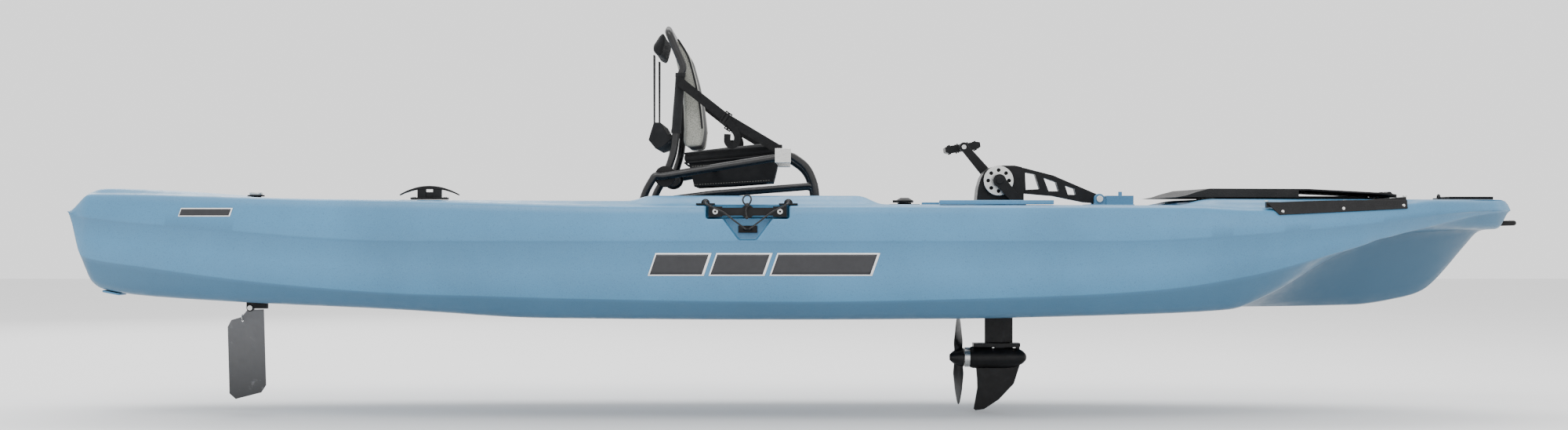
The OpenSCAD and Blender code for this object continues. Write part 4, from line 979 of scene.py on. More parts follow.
# ------------------------------------------------------------------------ stage
CAMERA_AT, CAMERA_LENS, CAMERA_SHIFT = (-0.047, -6.230, 0.260), 52.65, 0.003
SKY_STRENGTH = 1.5
class KAYAK_OT_stage(bpy.types.Operator):
    """Sets the camera, a pale floor and soft studio lights"""

    bl_idname = "kayak.stage"
    bl_label = "Stage"

    def execute(self, context):
        scene = context.scene
        lens = bpy.data.cameras.new("camera")
        lens.lens, lens.sensor_width, lens.shift_y = CAMERA_LENS, 36, CAMERA_SHIFT
        lens.clip_end = 60
        camera = bpy.data.objects.new("camera", lens)
        camera.location = CAMERA_AT
        camera.rotation_euler = (math.pi / 2, 0, 0)
        scene.collection.objects.link(camera)
        scene.camera = camera

        low = CAD_BOX[0][2] - 0.004
        bm = bmesh.new()
        bmesh.ops.create_grid(bm, x_segments=1, y_segments=1, size=14)
        bmesh.ops.translate(bm, vec=(0, 0, low), verts=bm.verts[:])
        floor = bpy.data.objects.new("floor", to_mesh(bm, "floor"))
        floor.data.materials.append(finish("floor"))
        scene.collection.objects.link(floor)
        floor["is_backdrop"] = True

        world = bpy.data.worlds.new("studio")
        world.use_nodes = True
        background = world.node_tree.nodes["Background"]
        background.inputs["Color"].default_value = (1, 1, 1, 1)
        background.inputs["Strength"].default_value = SKY_STRENGTH
        scene.world = world
        self.lamp(scene, "key", (-1.5, -4.0, 4.5), (4.5, 2.5), 150)
        self.lamp(scene, "fill", (3.5, -5.0, 2.0), (3.0, 3.0), 30)
        self.lamp(scene, "top", (0.0, 1.5, 4.5), (6.0, 2.5), 190)
        self.lamp(scene, "back", (-3.0, 5.0, 2.5), (4.0, 2.0), 90)
        return {"FINISHED"}

    def lamp(self, scene, name, at, size, watts):
        light = bpy.data.lights.new(name, "AREA")
        light.shape = "RECTANGLE"
        light.size, light.size_y = size
        light.energy = watts
        obj = bpy.data.objects.new(name, light)
        obj.location = at
        obj.rotation_euler = (Vector((0, 0, 0.2)) - Vector(at)).to_track_quat("-Z", "Y").to_euler()
        scene.collection.objects.link(obj)


# ------------------------------------------------------------------------- seat
HALF_SEAT, BACK_HALF, STRAP_Y = 240, 203, 225
REAR_LEG = [(-424, 257), (-412, 329), (-384, 376), (-368, 373), (-330, 379), (-290, 386), (-55, 424)]
FRONT_LEG = [(-28, 428), (14, 398), (34, 350), (40, 257)]
LOWER_BAR = [(-412, 306), (-231, 330), (21, 350), (34, 344)]
CROSS_TUBES = ((-230, 395), (34, 352), (-418, 312))
BACK_TUBE = [(-358, 373), (-336, 440), (-331, 487), (-319, 640), (-311, 660), (-349, 750)]
BACK_TOP = 760
HINGE_X, HINGE_Z = -358, 373


def in_side(points, y):
    return [(x, y, z) for x, z in points]


class KAYAK_OT_seat_frame(bpy.types.Operator):
    """Bends the seat's tubes: side loops, lower bars, cross tubes and the backrest hoop"""

    bl_idname = "kayak.seat_frame"
    bl_label = "Seat frame"

    def execute(self, context):
        tube = sizes().tube / MM
        rods = []
        for side in (STARBOARD, PORT):
            y = side * HALF_SEAT
            rods.append(rod("loop", rounded_path(in_side(REAR_LEG + FRONT_LEG, y), 26, 7), tube))
            rods.append(rod("bar", rounded_path(in_side(LOWER_BAR, y), 20), tube * 0.7))
        for x, z in CROSS_TUBES:
            rods.append(rod("cross", [(x, -HALF_SEAT, z), (x, HALF_SEAT, z)], tube * 0.8))
        weighted(place("seat_tubes", gathered(*rods), "seat", "tube", "seat_frame"))

        left = in_side(BACK_TUBE, -BACK_HALF)
        right = in_side(BACK_TUBE, BACK_HALF)[::-1]
        top = [(-352, -BACK_HALF + 20, BACK_TOP), (-352, 0, BACK_TOP), (-352, BACK_HALF - 20, BACK_TOP)]
        hoop = rod("hoop", rounded_path(left + top + right, 22, 6), tube)
        pins = bmesh.new()
        for side in (STARBOARD, PORT):
            disc(pins, (HINGE_X, side * (BACK_HALF + 0.5), HINGE_Z), 21, 18, "Y", 40)
            disc(pins, (HINGE_X, side * (BACK_HALF + 16), HINGE_Z), 3.9, 24, "Y", 24)
            disc(pins, (-320, side * 214, 625), 4, 20, "Y", 24)
        round_edges(pins, 0.0012)
        shape = gathered(hoop, to_mesh(pins, "pins"))
        weighted(place("back_tubes", shape, "seat_back", "tube", "back_frame"))
        return {"FINISHED"}


class KAYAK_OT_seat_fittings(bpy.types.Operator):
    """Finishes the feet, tracks, hinge knuckles, brackets and buckles of the seat"""

    bl_idname = "kayak.seat_fittings"
    bl_label = "Seat fittings"

    def execute(self, context):
        refined("seat_tracks", "hull", "alloy", 0.0008)
        refine_all("seat", ("seat_feet", "black", 0.002), ("seat_brackets", "steel", 0.0012),
                   ("strap_buckles", "black", 0.0008), ("seat_knuckles", "black", 0.002))
        bm = bmesh.new()
        outer = HALF_SEAT - 27.0
        for side in (STARBOARD, PORT):
            for turn in range(12):
                angle = math.tau * turn / 12
                at = (HINGE_X + 24.4 * math.cos(angle), side * (outer + 8.5),
                      HINGE_Z + 24.4 * math.sin(angle))
                block(bm, at, (5, 15.5, 3.2), (0, -angle, 0))
        round_edges(bm, 0.0007)
        weighted(place("knuckle_ribs", bm, "seat", "black"))
        return {"FINISHED"}


def side_webbing(path, width, y, thickness=1.5):
    """Webbing standing on edge along a side path, its weave following its length"""
    bm = bmesh.new()
    uv = bm.loops.layers.uv.new("UVMap")
    across, along = bm.verts.layers.float.new("across"), bm.verts.layers.float.new("along")
    places = [Vector((x, 0, z)) for x, z in path]
    row, travel = None, 0.0
    for i, here in enumerate(places):
        ahead = (places[min(i + 1, len(places) - 1)] - places[max(i - 1, 0)]).normalized()
        wide = Vector((-ahead.z, 0, ahead.x)) * width / 2
        if row is None:
            ends = [bm.verts.new(point(here.x - wide.x, y, here.z - wide.z)),
                    bm.verts.new(point(here.x + wide.x, y, here.z + wide.z))]
            row = bm.edges.new(ends)
            ends[1][across] = 1
            lower, upper = ends
            continue
        travel += (here - places[i - 1]).length
        grown = bmesh.ops.extrude_edge_only(bm, edges=[row])["geom"]
        row = next(g for g in grown if isinstance(g, bmesh.types.BMEdge))
        fresh = vertices(grown)
        fresh.sort(key=lambda v: (v.co - lower.co).length - (v.co - upper.co).length)
        lower, upper = fresh
        lower.co, upper.co = (point(here.x - wide.x, y, here.z - wide.z),
                              point(here.x + wide.x, y, here.z + wide.z))
        lower[across], upper[across] = 0, 1
        lower[along] = upper[along] = travel * MM
    for face in bm.faces:
        for loop in face.loops:
            loop[uv].uv = (loop.vert[across], loop.vert[along])
    return baked(thickened(bpy.data.objects.new("webbing", to_mesh(bm, "webbing")), thickness * MM))


def between(a, b, steps):
    return [(a[0] + (b[0] - a[0]) * i / steps, a[1] + (b[1] - a[1]) * i / steps) for i in range(steps + 1)]


class KAYAK_OT_seat_webbing(bpy.types.Operator):
    """Runs the backrest's adjusting straps through their buckles, with the loose loop of each tail"""

    bl_idname = "kayak.seat_webbing"
    bl_label = "Seat webbing"

    def execute(self, context):
        width = sizes().webbing / MM - 1
        buckle = (-199, 526)
        meshes, tails = [], []
        for side in (STARBOARD, PORT):
            upper = between((-325, 625), buckle, 10)
            lower = between(buckle, (-58, 442), 10)
            meshes.append(side_webbing(upper, width, side * STRAP_Y))
            meshes.append(side_webbing(lower, width, side * (STRAP_Y + 0.2)))
            loop = [(-196, 520), (-178, 500), (-168, 476), (-172, 458), (-186, 452), (-196, 462), (-195, 484)]
            path = [(p.x, p.z) for p in rounded_path(in_side(loop, 0), 9, 4)]
            tails.append(side_webbing(path, width * 0.72, side * (STRAP_Y + 3.4), 1.2))
        straps = place("back_straps", keep_weave(meshes), None, "webbing", "seat_straps")
        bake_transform(straps)
        place("strap_tails", keep_weave(tails), "seat", "webbing")
        return {"FINISHED"}


def keep_weave(meshes):
    """Several meshes as one, with their weave kept"""
    bm = bmesh.new()
    bm.loops.layers.uv.new("UVMap")
    for mesh in meshes:
        bm.from_mesh(mesh)
    return bm


def slope_block(outline, half, cuts=8):
    """A closed side outline drawn across the seat and cut into slices, ready to be padded"""
    bm = bmesh.new()
    slab(bm, outline, -half, half)
    bmesh.ops.recalc_face_normals(bm, faces=bm.faces[:])
    across = [e for e in bm.edges if abs(e.verts[0].co.y - e.verts[1].co.y) > half * MM]
    bmesh.ops.subdivide_edges(bm, edges=across, cuts=cuts, use_grid_fill=False)
    return bm


CUSHION = [(-312, 410), (-180, 421), (-56, 433), (-43, 440), (-60, 454), (-92, 458), (-200, 447),
           (-314, 433)]


class KAYAK_OT_cushion(bpy.types.Operator):
    """Stuffs the seat cushion and sews its piping, channels and skirt"""

    bl_idname = "kayak.cushion"
    bl_label = "Seat cushion"

    def execute(self, context):
        half = 184
        bm = slope_block(CUSHION, half, cuts=10)
        round_edges(bm, 0.007, 30, 3)
        mesh = stuffed(bm, "cushion", 5.0, 4.0, 4.5)
        sew_channels(mesh, [-62, 62], 9, 3.2)
        pad = place("seat_cushion_pad", mesh, "seat", "cloth", "seat_cushion", sharp=80)

        cord = sizes().piping / MM
        seams = []
        for z_low, z_high in ((409, 432), (434, 456)):
            rim = [(-314, -half, z_low), (-314, half, z_low), (-54, half, z_high), (-54, -half, z_high)]
            seams.append(rod("seam", rounded_path(rim + rim[:2], 16, 5)[3:-4], cord, closed=True))
        place("cushion_piping", gathered(*seams), "seat", "cloth")

        skirt = slope_block([(-298, 408), (-190, 416), (-80, 427), (-64, 404), (-75, 360), (-180, 352),
                             (-284, 347)], 180, cuts=6)
        cavity = bmesh.new()
        slab(cavity, [(-288, 380), (-100, 398), (-90, 330), (-278, 320)], -168, 168)
        outward(cavity)
        hole = bmesh.new()
        disc(hole, (-230, 0, 395), 9, 520, "Y", 24)
        shell = carve(to_mesh(outward(skirt), "skirt"), [cavity, hole])
        bm = bmesh.new()
        bm.from_mesh(shell)
        bmesh.ops.remove_doubles(bm, verts=bm.verts[:], dist=1e-5)
        round_edges(bm, 0.003, 35, 3)
        place("seat_skirt_cloth", bm, "seat", "cloth", "seat_skirt")
        stitches = bmesh.new()
        for side in (STARBOARD, PORT):
            for a, b in (((-286, 352), (-78, 364)), ((-291, 400), (-76, 419))):
                stitch_line(stitches, a, b, side * 180.6)
        place("skirt_stitches", stitches, "seat", "back")
        return {"FINISHED"}


def stitch_line(bm, a, b, y, pitch=7.0):
    """A row of thread stitches on a side face"""
    start, stop = Vector((a[0], 0, a[1])), Vector((b[0], 0, b[1]))
    along = stop - start
    lean = math.atan2(along.z, along.x)
    for i in range(int(along.length / pitch)):
        at = start + along.normalized() * (i + 0.5) * pitch
        block(bm, (at.x, y, at.z), (pitch * 0.6, 0.9, 0.8), (0, -lean, 0))


def sew_channels(mesh, rows, width, depth):
    """Presses sewn channels, running fore and aft, into the upper face of a pad"""
    for vert, normal in zip(mesh.vertices, [v.normal.copy() for v in mesh.vertices]):
        if normal.z < 0.3:
            continue
        for row in rows:
            near = abs(vert.co.y / MM - row) / width
            if near < 1:
                vert.co.z -= depth * MM * (1 - near ** 2) ** 2


SLING = [(-268, 452), (-263, 500), (-269, 560), (-282, 627), (-300, 693), (-327, 735), (-338, 734),
         (-330, 688), (-318, 627), (-310, 560), (-308, 500), (-311, 450)]


class KAYAK_OT_backrest(bpy.types.Operator):
    """Stuffs the backrest's sling and top cover and adds its piping, pocket, sleeves and cords"""

    bl_idname = "kayak.backrest"
    bl_label = "Backrest"

    def execute(self, context):
        half = 187
        bm = slope_block(SLING, half)
        round_edges(bm, 0.006, 40, 2)
        mesh = stuffed(bm, "sling", 5.0, 4.0, 3.5)
        for row in (-101, 101):
            press_seam(mesh, row, 7, 2.6)
        sling = place("back_sling_pad", mesh, None, "back", sharp=80)
        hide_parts("back_sling")
        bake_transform(sling)

        cord = sizes().piping / MM
        seams = [rod("seam", rounded_path([(x + 0.5, s * (half + 0.5), z) for x, z in SLING[1:6]], 30, 4),
                     cord) for s in (STARBOARD, PORT)]
        piping = place("sling_piping", gathered(*seams), None, "cloth")
        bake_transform(piping)

        cover = slope_block([(-373, 693), (-361, 742), (-367, 758), (-394, 716), (-392, 703)], 164)
        round_edges(cover, 0.003, 40, 2)
        mesh = stuffed(cover, "bonnet", 4.0, 3.0, 2.2)
        top = place("back_cover", mesh, "seat_back", "cloth", "back_bonnet", sharp=80)
        pocket = refined("back_tray", "seat_back", "cloth", 0.003, segments=3)
        pocket.name = "back_pocket"

        sleeves = []
        for side in (STARBOARD, PORT):
            path = [(-319.5, 640), (-323, 590), (-327, 540), (-330.5, 490)]
            sleeves.append(rod("sleeve", in_side(path, side * BACK_HALF), 12.4))
            for x, z in ((-319.5, 640), (-330.5, 492)):
                sleeves.append(rod("cuff", [(x, side * BACK_HALF, z - 5), (x + 0.4, side * BACK_HALF, z + 5)],
                                   13.6))
        place("tube_sleeves", gathered(*sleeves), "seat_back", "cloth")
        cords = []
        for side in (STARBOARD, PORT):
            for run in (((60, 697), (64, 640), (70, 580), (78, 517)),
                        ((90, 697), (88, 640), (84, 580), (80, 517))):
                cords.append(rod("cord", [(-392, side * (BACK_HALF - y), z) for y, z in run],
                                 sizes().cord / MM, smooth=True))
        place("pocket_cords", gathered(*cords), "seat_back", "elastic", "back_bungees")
        return {"FINISHED"}


def press_seam(mesh, row, width, depth):
    """Presses one upright seam into the front and back of the sling"""
    for vert, normal in zip(mesh.vertices, [v.normal.copy() for v in mesh.vertices]):
        near = abs(vert.co.y / MM - row) / width
        if near < 1 and abs(normal.x) > 0.3:
            vert.co -= normal * depth * MM * (1 - near ** 2) ** 2


# --------------------------------------------------------------- hull fittings
class KAYAK_OT_hull_fittings(bpy.types.Operator):
    """Finishes the moulded and metal fittings fixed to the hull"""

    bl_idname = "kayak.hull_fittings"
    bl_label = "Hull fittings"

    def execute(self, context):
        for node in ("bow_plate", "side_rails", "hatch_rim", "steering_base", "pad_eyes"):
            refined(node, "hull", "black")
        for node in ("skid_plates", "drive_dock", "gear_tracks"):
            refined(node, "hull", "hull", 0.002)
        for node in ("side_handle_left", "side_handle_right"):
            refined(node, "hull", "black", 0.0016, segments=3)
        refine_all("hull", ("bow_plate_inserts", "brass", 0.0003), ("deck_screws", "steel", 0.0005),
                   ("hatch_hinge_pin", "steel", 0.0006), ("drive_pivot_pin", "steel", 0.0008),
                   ("hatch_seal", "foam", 0.0012), ("rudder_tube", "black", 0.0006))
        return {"FINISHED"}


class KAYAK_OT_cleat(bpy.types.Operator):
    """Moulds the anchor cleat: an arched horn plate on a split pedestal with two bolts"""

    bl_idname = "kayak.cleat"
    bl_label = "Anchor cleat"

    def execute(self, context):
        low, high = box_mm("anchor_cleat")
        middle, foot, top = (low.x + high.x) / 2, low.z, high.z
        centre_y, half_y = (low.y + high.y) / 2, (high.y - low.y) / 2
        reach = (high.x - low.x) / 2
        steps = 18
        crest = [middle + reach * math.sin(math.pi * (i / steps - 0.5)) for i in range(steps + 1)]
        upper = [(x, top - 22 * ((x - middle) / reach) ** 2) for x in crest]
        under = [(x, z - 3 - 6 * (1 - abs(x - middle) / reach)) for x, z in upper[::-1]]
        horn = bmesh.new()
        slab(horn, upper + under, centre_y - half_y * 0.62, centre_y + half_y * 0.62)
        outward(horn)
        round_edges(horn, 0.0022, 40, 3)
        base = bmesh.new()
        block(base, (middle, centre_y, foot + 2.5), (min(96, 2 * reach - 40), 2 * half_y, 5))
        for side in (-1, 1):
            block(base, (middle + side * 20, centre_y, (foot + top) / 2 - 3),
                  (22, half_y * 1.05, top - foot - 9))
        block(base, (middle, centre_y, foot + 12), (60, half_y * 0.5, 14))
        round_edges(base, 0.0016, 40, 2)
        bolts = bmesh.new()
        for side in (-1, 1):
            disc(bolts, (middle + side * 40, centre_y, foot + 5.8), 4.4, 2.4, "Z", 24)
        round_edges(bolts, 0.0007, 40, 2)
        shape = gathered(to_mesh(horn, "horn"), to_mesh(base, "base"))
        weighted(place("cleat", shape, "hull", "black", "anchor_cleat"))
        weighted(place("cleat_bolts", bolts, "hull", "steel"))
        return {"FINISHED"}


class KAYAK_OT_screw_drives(bpy.types.Operator):
    """Rounds the rim of each handle screw head and lays a thin black hexagon on it, painted shade where the
    head's hex socket would be
    """

    bl_idname = "kayak.screw_drives"
    bl_label = "Screw drives"

    def execute(self, context):
        bm, socket_shades = bmesh.new(), bmesh.new()
        face = box_mm("side_handle_right")[0].y
        for side in (STARBOARD, PORT):
            for x in (-221, -57):
                disc(bm, (x, side * (abs(face) + 0.5), 280.5), 7.2, 2.6, "Y", 36)
                # painted shade: a black hexagon laid on the head stands in for the shaded hollow of its
                # socket
                disc(socket_shades, (x, side * (abs(face) + 1.9), 280.5), 3.2, 0.6, "Y", 6)
        round_edges(bm, 0.0009, 32, 3)
        weighted(place("handle_screw_heads", bm, "hull", "steel"))
        place("handle_screw_socket_shades", socket_shades, "hull", "black")
        return {"FINISHED"}


class KAYAK_OT_bow_handle(bpy.types.Operator):
    """Rounds the moulded grip under the bow"""

    bl_idname = "kayak.bow_handle"
    bl_label = "Bow handle"

    def execute(self, context):
        bm = node_shape("bow_handle")
        round_edges(bm, 0.0012, 50, 2)
        place("bow_grip", bm, "hull", "black", "bow_handle", sharp=60)
        return {"FINISHED"}


class KAYAK_OT_bungees(bpy.types.Operator):
    """Stretches the paddle keepers over the side handles, with a knotted loop in the middle of each"""

    bl_idname = "kayak.bungees"
    bl_label = "Paddle keepers"

    def execute(self, context):
        radius = sizes().cord / MM
        out = half_beam(RECESS_X) - RECESS_DEEP + 31.3
        low_z = 236
        cords, knots = [], bmesh.new()
        for side in (STARBOARD, PORT):
            for x in (-246, -36):
                lean = 1 if x > RECESS_X else -1
                rim = curve_at(RIM_LINE, x)
                skin = half_beam(x)
                path = [(x, skin * 0.925 + 8, rim + 9), (x - lean * 2, skin + 4, rim + 3),
                        (RECESS_X + lean * 60, out + 15, 279), (RECESS_X + lean * 34, out + 15, 258),
                        (RECESS_X + lean * 4, out + 9, low_z)]
                cords.append(rod("cord", rounded_path([(a, side * b, c) for a, b, c in path], 9), radius))
                bmesh.ops.create_icosphere(knots, subdivisions=3, radius=5.2 * MM,
                                           matrix=Matrix.Translation(point(x, side * (skin * 0.925 + 8),
                                                                           rim + 9)))
        place("paddle_keepers", gathered(*cords), "hull", "elastic", "side_bungees")
        loops = []
        for side in (STARBOARD, PORT):
            y = half_beam(RECESS_X) - RECESS_DEEP + 29
            loop = [(-142, y, 296), (-150, y + 3, 305), (-148, y - 8, 318), (-138, y - 16, 322),
                    (-131, y - 8, 316), (-132, y + 3, 304), (-138, y + 1, 296)]
            tail = [(-139, y + 2, 298), (-143, y + 5, 284), (-141, y + 5, 266)]
            loops.append(rod("loop", [(a, side * b, c) for a, b, c in loop], radius, smooth=True))
            loops.append(rod("tail", [(a, side * b, c) for a, b, c in tail], radius, smooth=True))
            for at, size in (((-140, y + 3, 297), 6), ((-141, y + 5, 265), 4.2)):
                bmesh.ops.create_icosphere(knots, subdivisions=3, radius=size * MM,
                                           matrix=Matrix.Translation(point(at[0], side * at[1], at[2])))
        place("keeper_loops", gathered(*loops), "hull", "elastic")
        place("keeper_knots", knots, "hull", "elastic")
        return {"FINISHED"}


class KAYAK_OT_hatch(bpy.types.Operator):
    """Finishes the hinged bow cover and lays its raised pads"""

    bl_idname = "kayak.hatch"
    bl_label = "Bow cover"

    def execute(self, context):
        refined("hatch_lid", "hatch", "lid", 0.004, segments=3)
        top = box_mm("hatch_lid")[1].z
        ribs = bmesh.new()
        for i in range(5):
            y = (i - 2) * 62
            block(ribs, (1208, y, top - 1.1), (232 - abs(i - 2) * 18, 30, 2.2))
        bevel(ribs, [e for e in ribs.edges if abs(e.verts[0].co.z - e.verts[1].co.z) > 1e-4], 0.012, 5)
        round_edges(ribs, 0.0009, 60, 2)
        place("cover_pads", ribs, "hatch", "lid")
        return {"FINISHED"}


class KAYAK_OT_cover_flaps(bpy.types.Operator):
    """Wraps the bow cover's edge strips over the flanks, each held by three screws"""

    bl_idname = "kayak.cover_flaps"
    bl_label = "Cover flaps"

    def execute(self, context):
        bm = bmesh.new()
        screws = bmesh.new()
        for side in (STARBOARD, PORT):
            bmesh.ops.create_grid(bm, x_segments=40, y_segments=8, size=0.5)
            for vert in [v for v in bm.verts if not v.tag]:
                u, v = vert.co.x + 0.5, vert.co.y + 0.5
                x_low, x_high = 1220 + 355 * u, 1187 + 388 * u
                z_low, z_high = 272 + 17 * u, 304 + 7 * math.sin(math.pi * min(1, u * 1.4) / 2)
                x = x_low + (x_high - x_low) * v
                z = z_low + (z_high - z_low) * v
                vert.co = point(x, side * (side_at(x, min(z, curve_at(RIM_LINE, x) - 3)) + 1.8), z)
                vert.tag = True
            for x, z in ((1229, 281), (1395, 289), (1564, 297)):
                disc(screws, (x, side * (side_at(x, z) + 3.6), z), 4.2, 2.4, "Y", 24)
        flaps = thickened(place("cover_flaps_finish", bm, "hull", "lid"), 0.003)
        soft = flaps.modifiers.new("edges", "BEVEL")
        soft.width, soft.segments, soft.limit_method = 0.001, 2, "ANGLE"
        round_edges(screws, 0.0008, 32, 3)
        place("cover_screws", screws, "hull", "steel")
        return {"FINISHED"}


class KAYAK_OT_knob(bpy.types.Operator):
    """Finishes the steering knob"""

    bl_idname = "kayak.knob"
    bl_label = "Steering knob"

    def execute(self, context):
        refined("steering_knob", "steering_dial", "drive", 0.0012, segments=3)
        return {"FINISHED"}


class KAYAK_OT_rudder(bpy.types.Operator):
    """Finishes the rudder's stock, fork, pin, blade and lifting ring"""

    bl_idname = "kayak.rudder"
    bl_label = "Rudder"

    def execute(self, context):
        refine_all("rudder_post", ("rudder_stock", "steel", 0.0008), ("rudder_fork", "black", 0.0012),
                   ("rudder_pin", "steel", 0.0005))
        refine_all("rudder", ("rudder_blade", "rudder", 0.0016, 3), ("rudder_ring", "steel", 0.0005))
        return {"FINISHED"}


STRIPE_FROM, STRIPE_TO, STRIPE_LEAN = -392, 176, 0.35


def flank_strip(bm, x_from, x_to, z_low, z_high, side, lift):
    """A thin stripe that follows the flank of the hull"""
    bmesh.ops.create_grid(bm, x_segments=34, y_segments=6, size=0.5)
    for vert in [v for v in bm.verts if not v.tag]:
        u, v = vert.co.x + 0.5, vert.co.y + 0.5
        z = z_low + (z_high - z_low) * v
        x = x_from + (x_to - x_from) * u + STRIPE_LEAN * (z - z_low)
        vert.co = point(x, side * (side_at(x, z) + lift), z)
        vert.tag = True


class KAYAK_OT_graphics(bpy.types.Operator):
    """Lays plain three-part stripes, dark with a white edge, on both flanks"""

    bl_idname = "kayak.graphics"
    bl_label = "Flank stripes"

    def execute(self, context):
        dark, pale = bmesh.new(), bmesh.new()
        bars = ((STRIPE_FROM, -250), (-238, -96), (-84, STRIPE_TO))
        for side in (STARBOARD, PORT):
            for x_from, x_to in bars:
                flank_strip(pale, x_from, x_to, 118, 176, side, 0.5)
                flank_strip(dark, x_from + 5, x_to - 5, 121.5, 172.5, side, 0.9)
            flank_strip(pale, -1600, -1462, 268, 290, side, 0.5)
            flank_strip(dark, -1597, -1465, 270.5, 287.5, side, 0.9)
        for name, bm, material in (("stripe_edges", pale, "graphic_white"),
                                   ("stripe_fills", dark, "graphic_black")):
            thickened(place(name, bm, "hull", material), 0.0008)
        return {"FINISHED"}


# ------------------------------------------------------------------ pedal drive
class KAYAK_OT_drive(bpy.types.Operator):
    """Finishes the drive's arm, housings, leg and pod"""

    bl_idname = "kayak.drive"
    bl_label = "Drive body"

    def execute(self, context):
        refine_all("drive", ("drive_arm", "drive", 0.002, 3), ("drive_housing_left", "drive", 0.003, 3),
                   ("drive_housing_right", "drive", 0.003, 3), ("drive_leg", "drive", 0.0022, 3),
                   ("gearcase", "drive", 0.0016, 3), ("prop_collar", "steel", 0.001),
                   ("flange_bolts", "steel", 0.0005), ("drive_bearings", "steel", 0.0003))
        return {"FINISHED"}


class KAYAK_OT_cranks(bpy.types.Operator):
    """Finishes the crank axle, arms and drilled discs"""

    bl_idname = "kayak.cranks"
    bl_label = "Cranks"

    def execute(self, context):
        refine_all("crank", ("crank_axle", "steel", 0.0006), ("crank_gear", "steel", 0.0002),
                   ("crank_arms", "drive", 0.0018, 3), ("crank_discs", "steel", 0.0006),
                   ("pedal_spindles", "steel", 0.0005))
        caps = bmesh.new()
        end = abs(box_mm("crank_axle")[0].y)
        for side in (STARBOARD, PORT):
            disc(caps, (530, side * (end + 0.4), 365), 9.5, 2.4, "Y", 40)
        round_edges(caps, 0.0009, 32, 3)
        weighted(place("axle_caps", caps, "crank", "black"))
        return {"FINISHED"}


class KAYAK_OT_pedals(bpy.types.Operator):
    """Finishes the two pedals"""

    bl_idname = "kayak.pedals"
    bl_label = "Pedals"

    def execute(self, context):
        refined("pedal_left", "left_pedal", "drive", 0.0012)
        refined("pedal_right", "right_pedal", "drive", 0.0012)
        return {"FINISHED"}


class KAYAK_OT_gears(bpy.types.Operator):
    """Finishes the running gear inside the drive"""

    bl_idname = "kayak.gears"
    bl_label = "Running gear"

    def execute(self, context):
        for node in ("pinion_shaft", "lower_gear", "prop_shaft"):
            for material_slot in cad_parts[node].material_slots:
                material_slot.material = finish("steel")
        return {"FINISHED"}


class KAYAK_OT_propeller(bpy.types.Operator):
    """Shapes the two-bladed propeller: a tapered hub and thin blades twisted to one pitch"""

    bl_idname = "kayak.propeller"
    bl_label = "Propeller"

    def execute(self, context):
        low, high = box_mm("propeller")
        axis_z, reach = (low.z + high.z) / 2, (high.z - low.z) / 2
        chords = ((0.10, 25), (0.4, 42), (0.65, 44), (0.85, 32), (0.97, 17), (1.0, 5))
        middle, pitch = 426.5, 236.0
        bm = bmesh.new()
        for turn in (0, 180):
            bmesh.ops.create_cone(bm, cap_ends=True, segments=28, radius1=1, radius2=1, depth=2)
            edges = [e for e in bm.edges if not e.verts[0].tag and abs(e.verts[0].co.z - e.verts[1].co.z) > 1]
            bmesh.ops.subdivide_edges(bm, edges=edges, cuts=26)
            fresh = [v for v in bm.verts if not v.tag]
            spin = Matrix.Rotation(math.radians(turn), 3, "X")
            for vert in fresh:
                share = 0.10 + 0.90 * (vert.co.z + 1) / 2
                radius = share * (reach - 0.4)
                half = curve_at(chords, share) / 2
                thick = 3.1 - 2.1 * share
                u, v = vert.co.x * half, vert.co.y * thick
                lean = math.atan2(pitch, math.tau * radius)
                at = Vector((u * math.sin(lean) - v * math.cos(lean),
                             u * math.cos(lean) + v * math.sin(lean), radius))
                at = spin @ at
                vert.co = point(middle + at.x, at.y, axis_z + at.z)
                vert.tag = True
        hub = rounded_profile([(0, 0), (25.4, 0), (24.6, 10), (17, 28), (8, 38.6), (0, 39)], 441, axis_z)
        blades = to_mesh(outward(bm), "blades")
        weighted(place("propeller_finish", gathered(blades, hub), "propeller_assembly", "propeller",
                       "propeller", sharp=50))
        return {"FINISHED"}


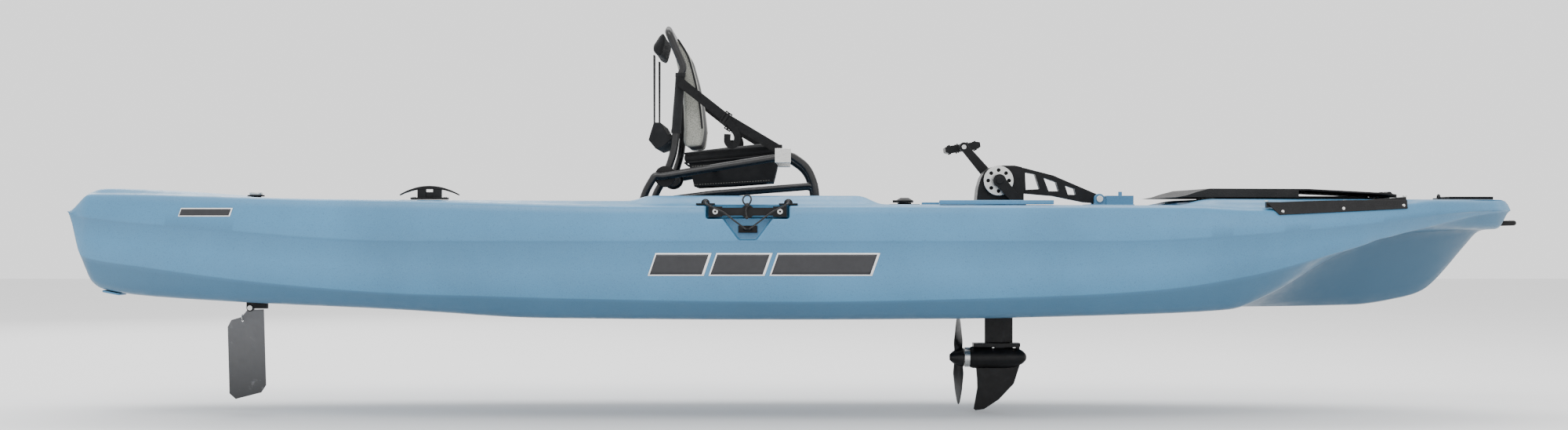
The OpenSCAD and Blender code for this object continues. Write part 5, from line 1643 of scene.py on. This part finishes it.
def rounded_profile(profile, x_base, z):
    """A turned piece on the propeller's axis, from (radius, distance aft) points in millimetres"""
    bm = bmesh.new()
    line = [bm.verts.new(point(x_base - back, 0, z + radius)) for radius, back in profile]
    edges = [bm.edges.new(pair) for pair in zip(line, line[1:])]
    bmesh.ops.spin(bm, geom=line + edges, cent=point(x_base, 0, z), axis=(1, 0, 0), angle=math.tau,
                   steps=56, use_merge=True, use_duplicate=False)
    outward(bm)
    round_edges(bm, 0.0012, 20, 2)
    return to_mesh(bm, "turned")


# ------------------------------------------------------------------- the add-on
class KAYAK_PT_pieces(bpy.types.Panel):
    """Lists the kayak's sizes, colours and pieces in the sidebar"""

    bl_idname = "KAYAK_PT_pieces"
    bl_label = "Pedal kayak"
    bl_space_type = "VIEW_3D"
    bl_region_type = "UI"
    bl_category = "Kayak"

    def draw(self, context):
        for group in (context.scene.kayak_sizes, context.scene.kayak_colours):
            for name in group.bl_rna.properties.keys():
                if name not in ("rna_type", "name"):
                    self.layout.prop(group, name)
        for operator in OPERATORS:
            self.layout.operator(operator.bl_idname)


OPERATORS = (
    KAYAK_OT_stage, KAYAK_OT_hull, KAYAK_OT_seat_frame, KAYAK_OT_seat_fittings, KAYAK_OT_seat_webbing,
    KAYAK_OT_cushion, KAYAK_OT_backrest, KAYAK_OT_hull_fittings, KAYAK_OT_cleat, KAYAK_OT_screw_drives,
    KAYAK_OT_bow_handle, KAYAK_OT_bungees, KAYAK_OT_hatch, KAYAK_OT_cover_flaps, KAYAK_OT_knob,
    KAYAK_OT_rudder, KAYAK_OT_graphics, KAYAK_OT_drive, KAYAK_OT_cranks, KAYAK_OT_pedals,
    KAYAK_OT_gears, KAYAK_OT_propeller,
)
CLASSES = (KayakSizes, KayakColours, *OPERATORS, KAYAK_PT_pieces)


def register():
    for cls in CLASSES:
        bpy.utils.register_class(cls)
    bpy.types.Scene.kayak_sizes = PointerProperty(type=KayakSizes)
    bpy.types.Scene.kayak_colours = PointerProperty(type=KayakColours)


def unregister():
    del bpy.types.Scene.kayak_colours
    del bpy.types.Scene.kayak_sizes
    for cls in reversed(CLASSES):
        bpy.utils.unregister_class(cls)


def main():
    register()
    for operator in OPERATORS:
        group, name = operator.bl_idname.split(".")
        getattr(getattr(bpy.ops, group), name)()
    boxes = [[list(corner) for corner in box] for box in (CAD_BOX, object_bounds())]


if __name__ == "__main__":
    main()
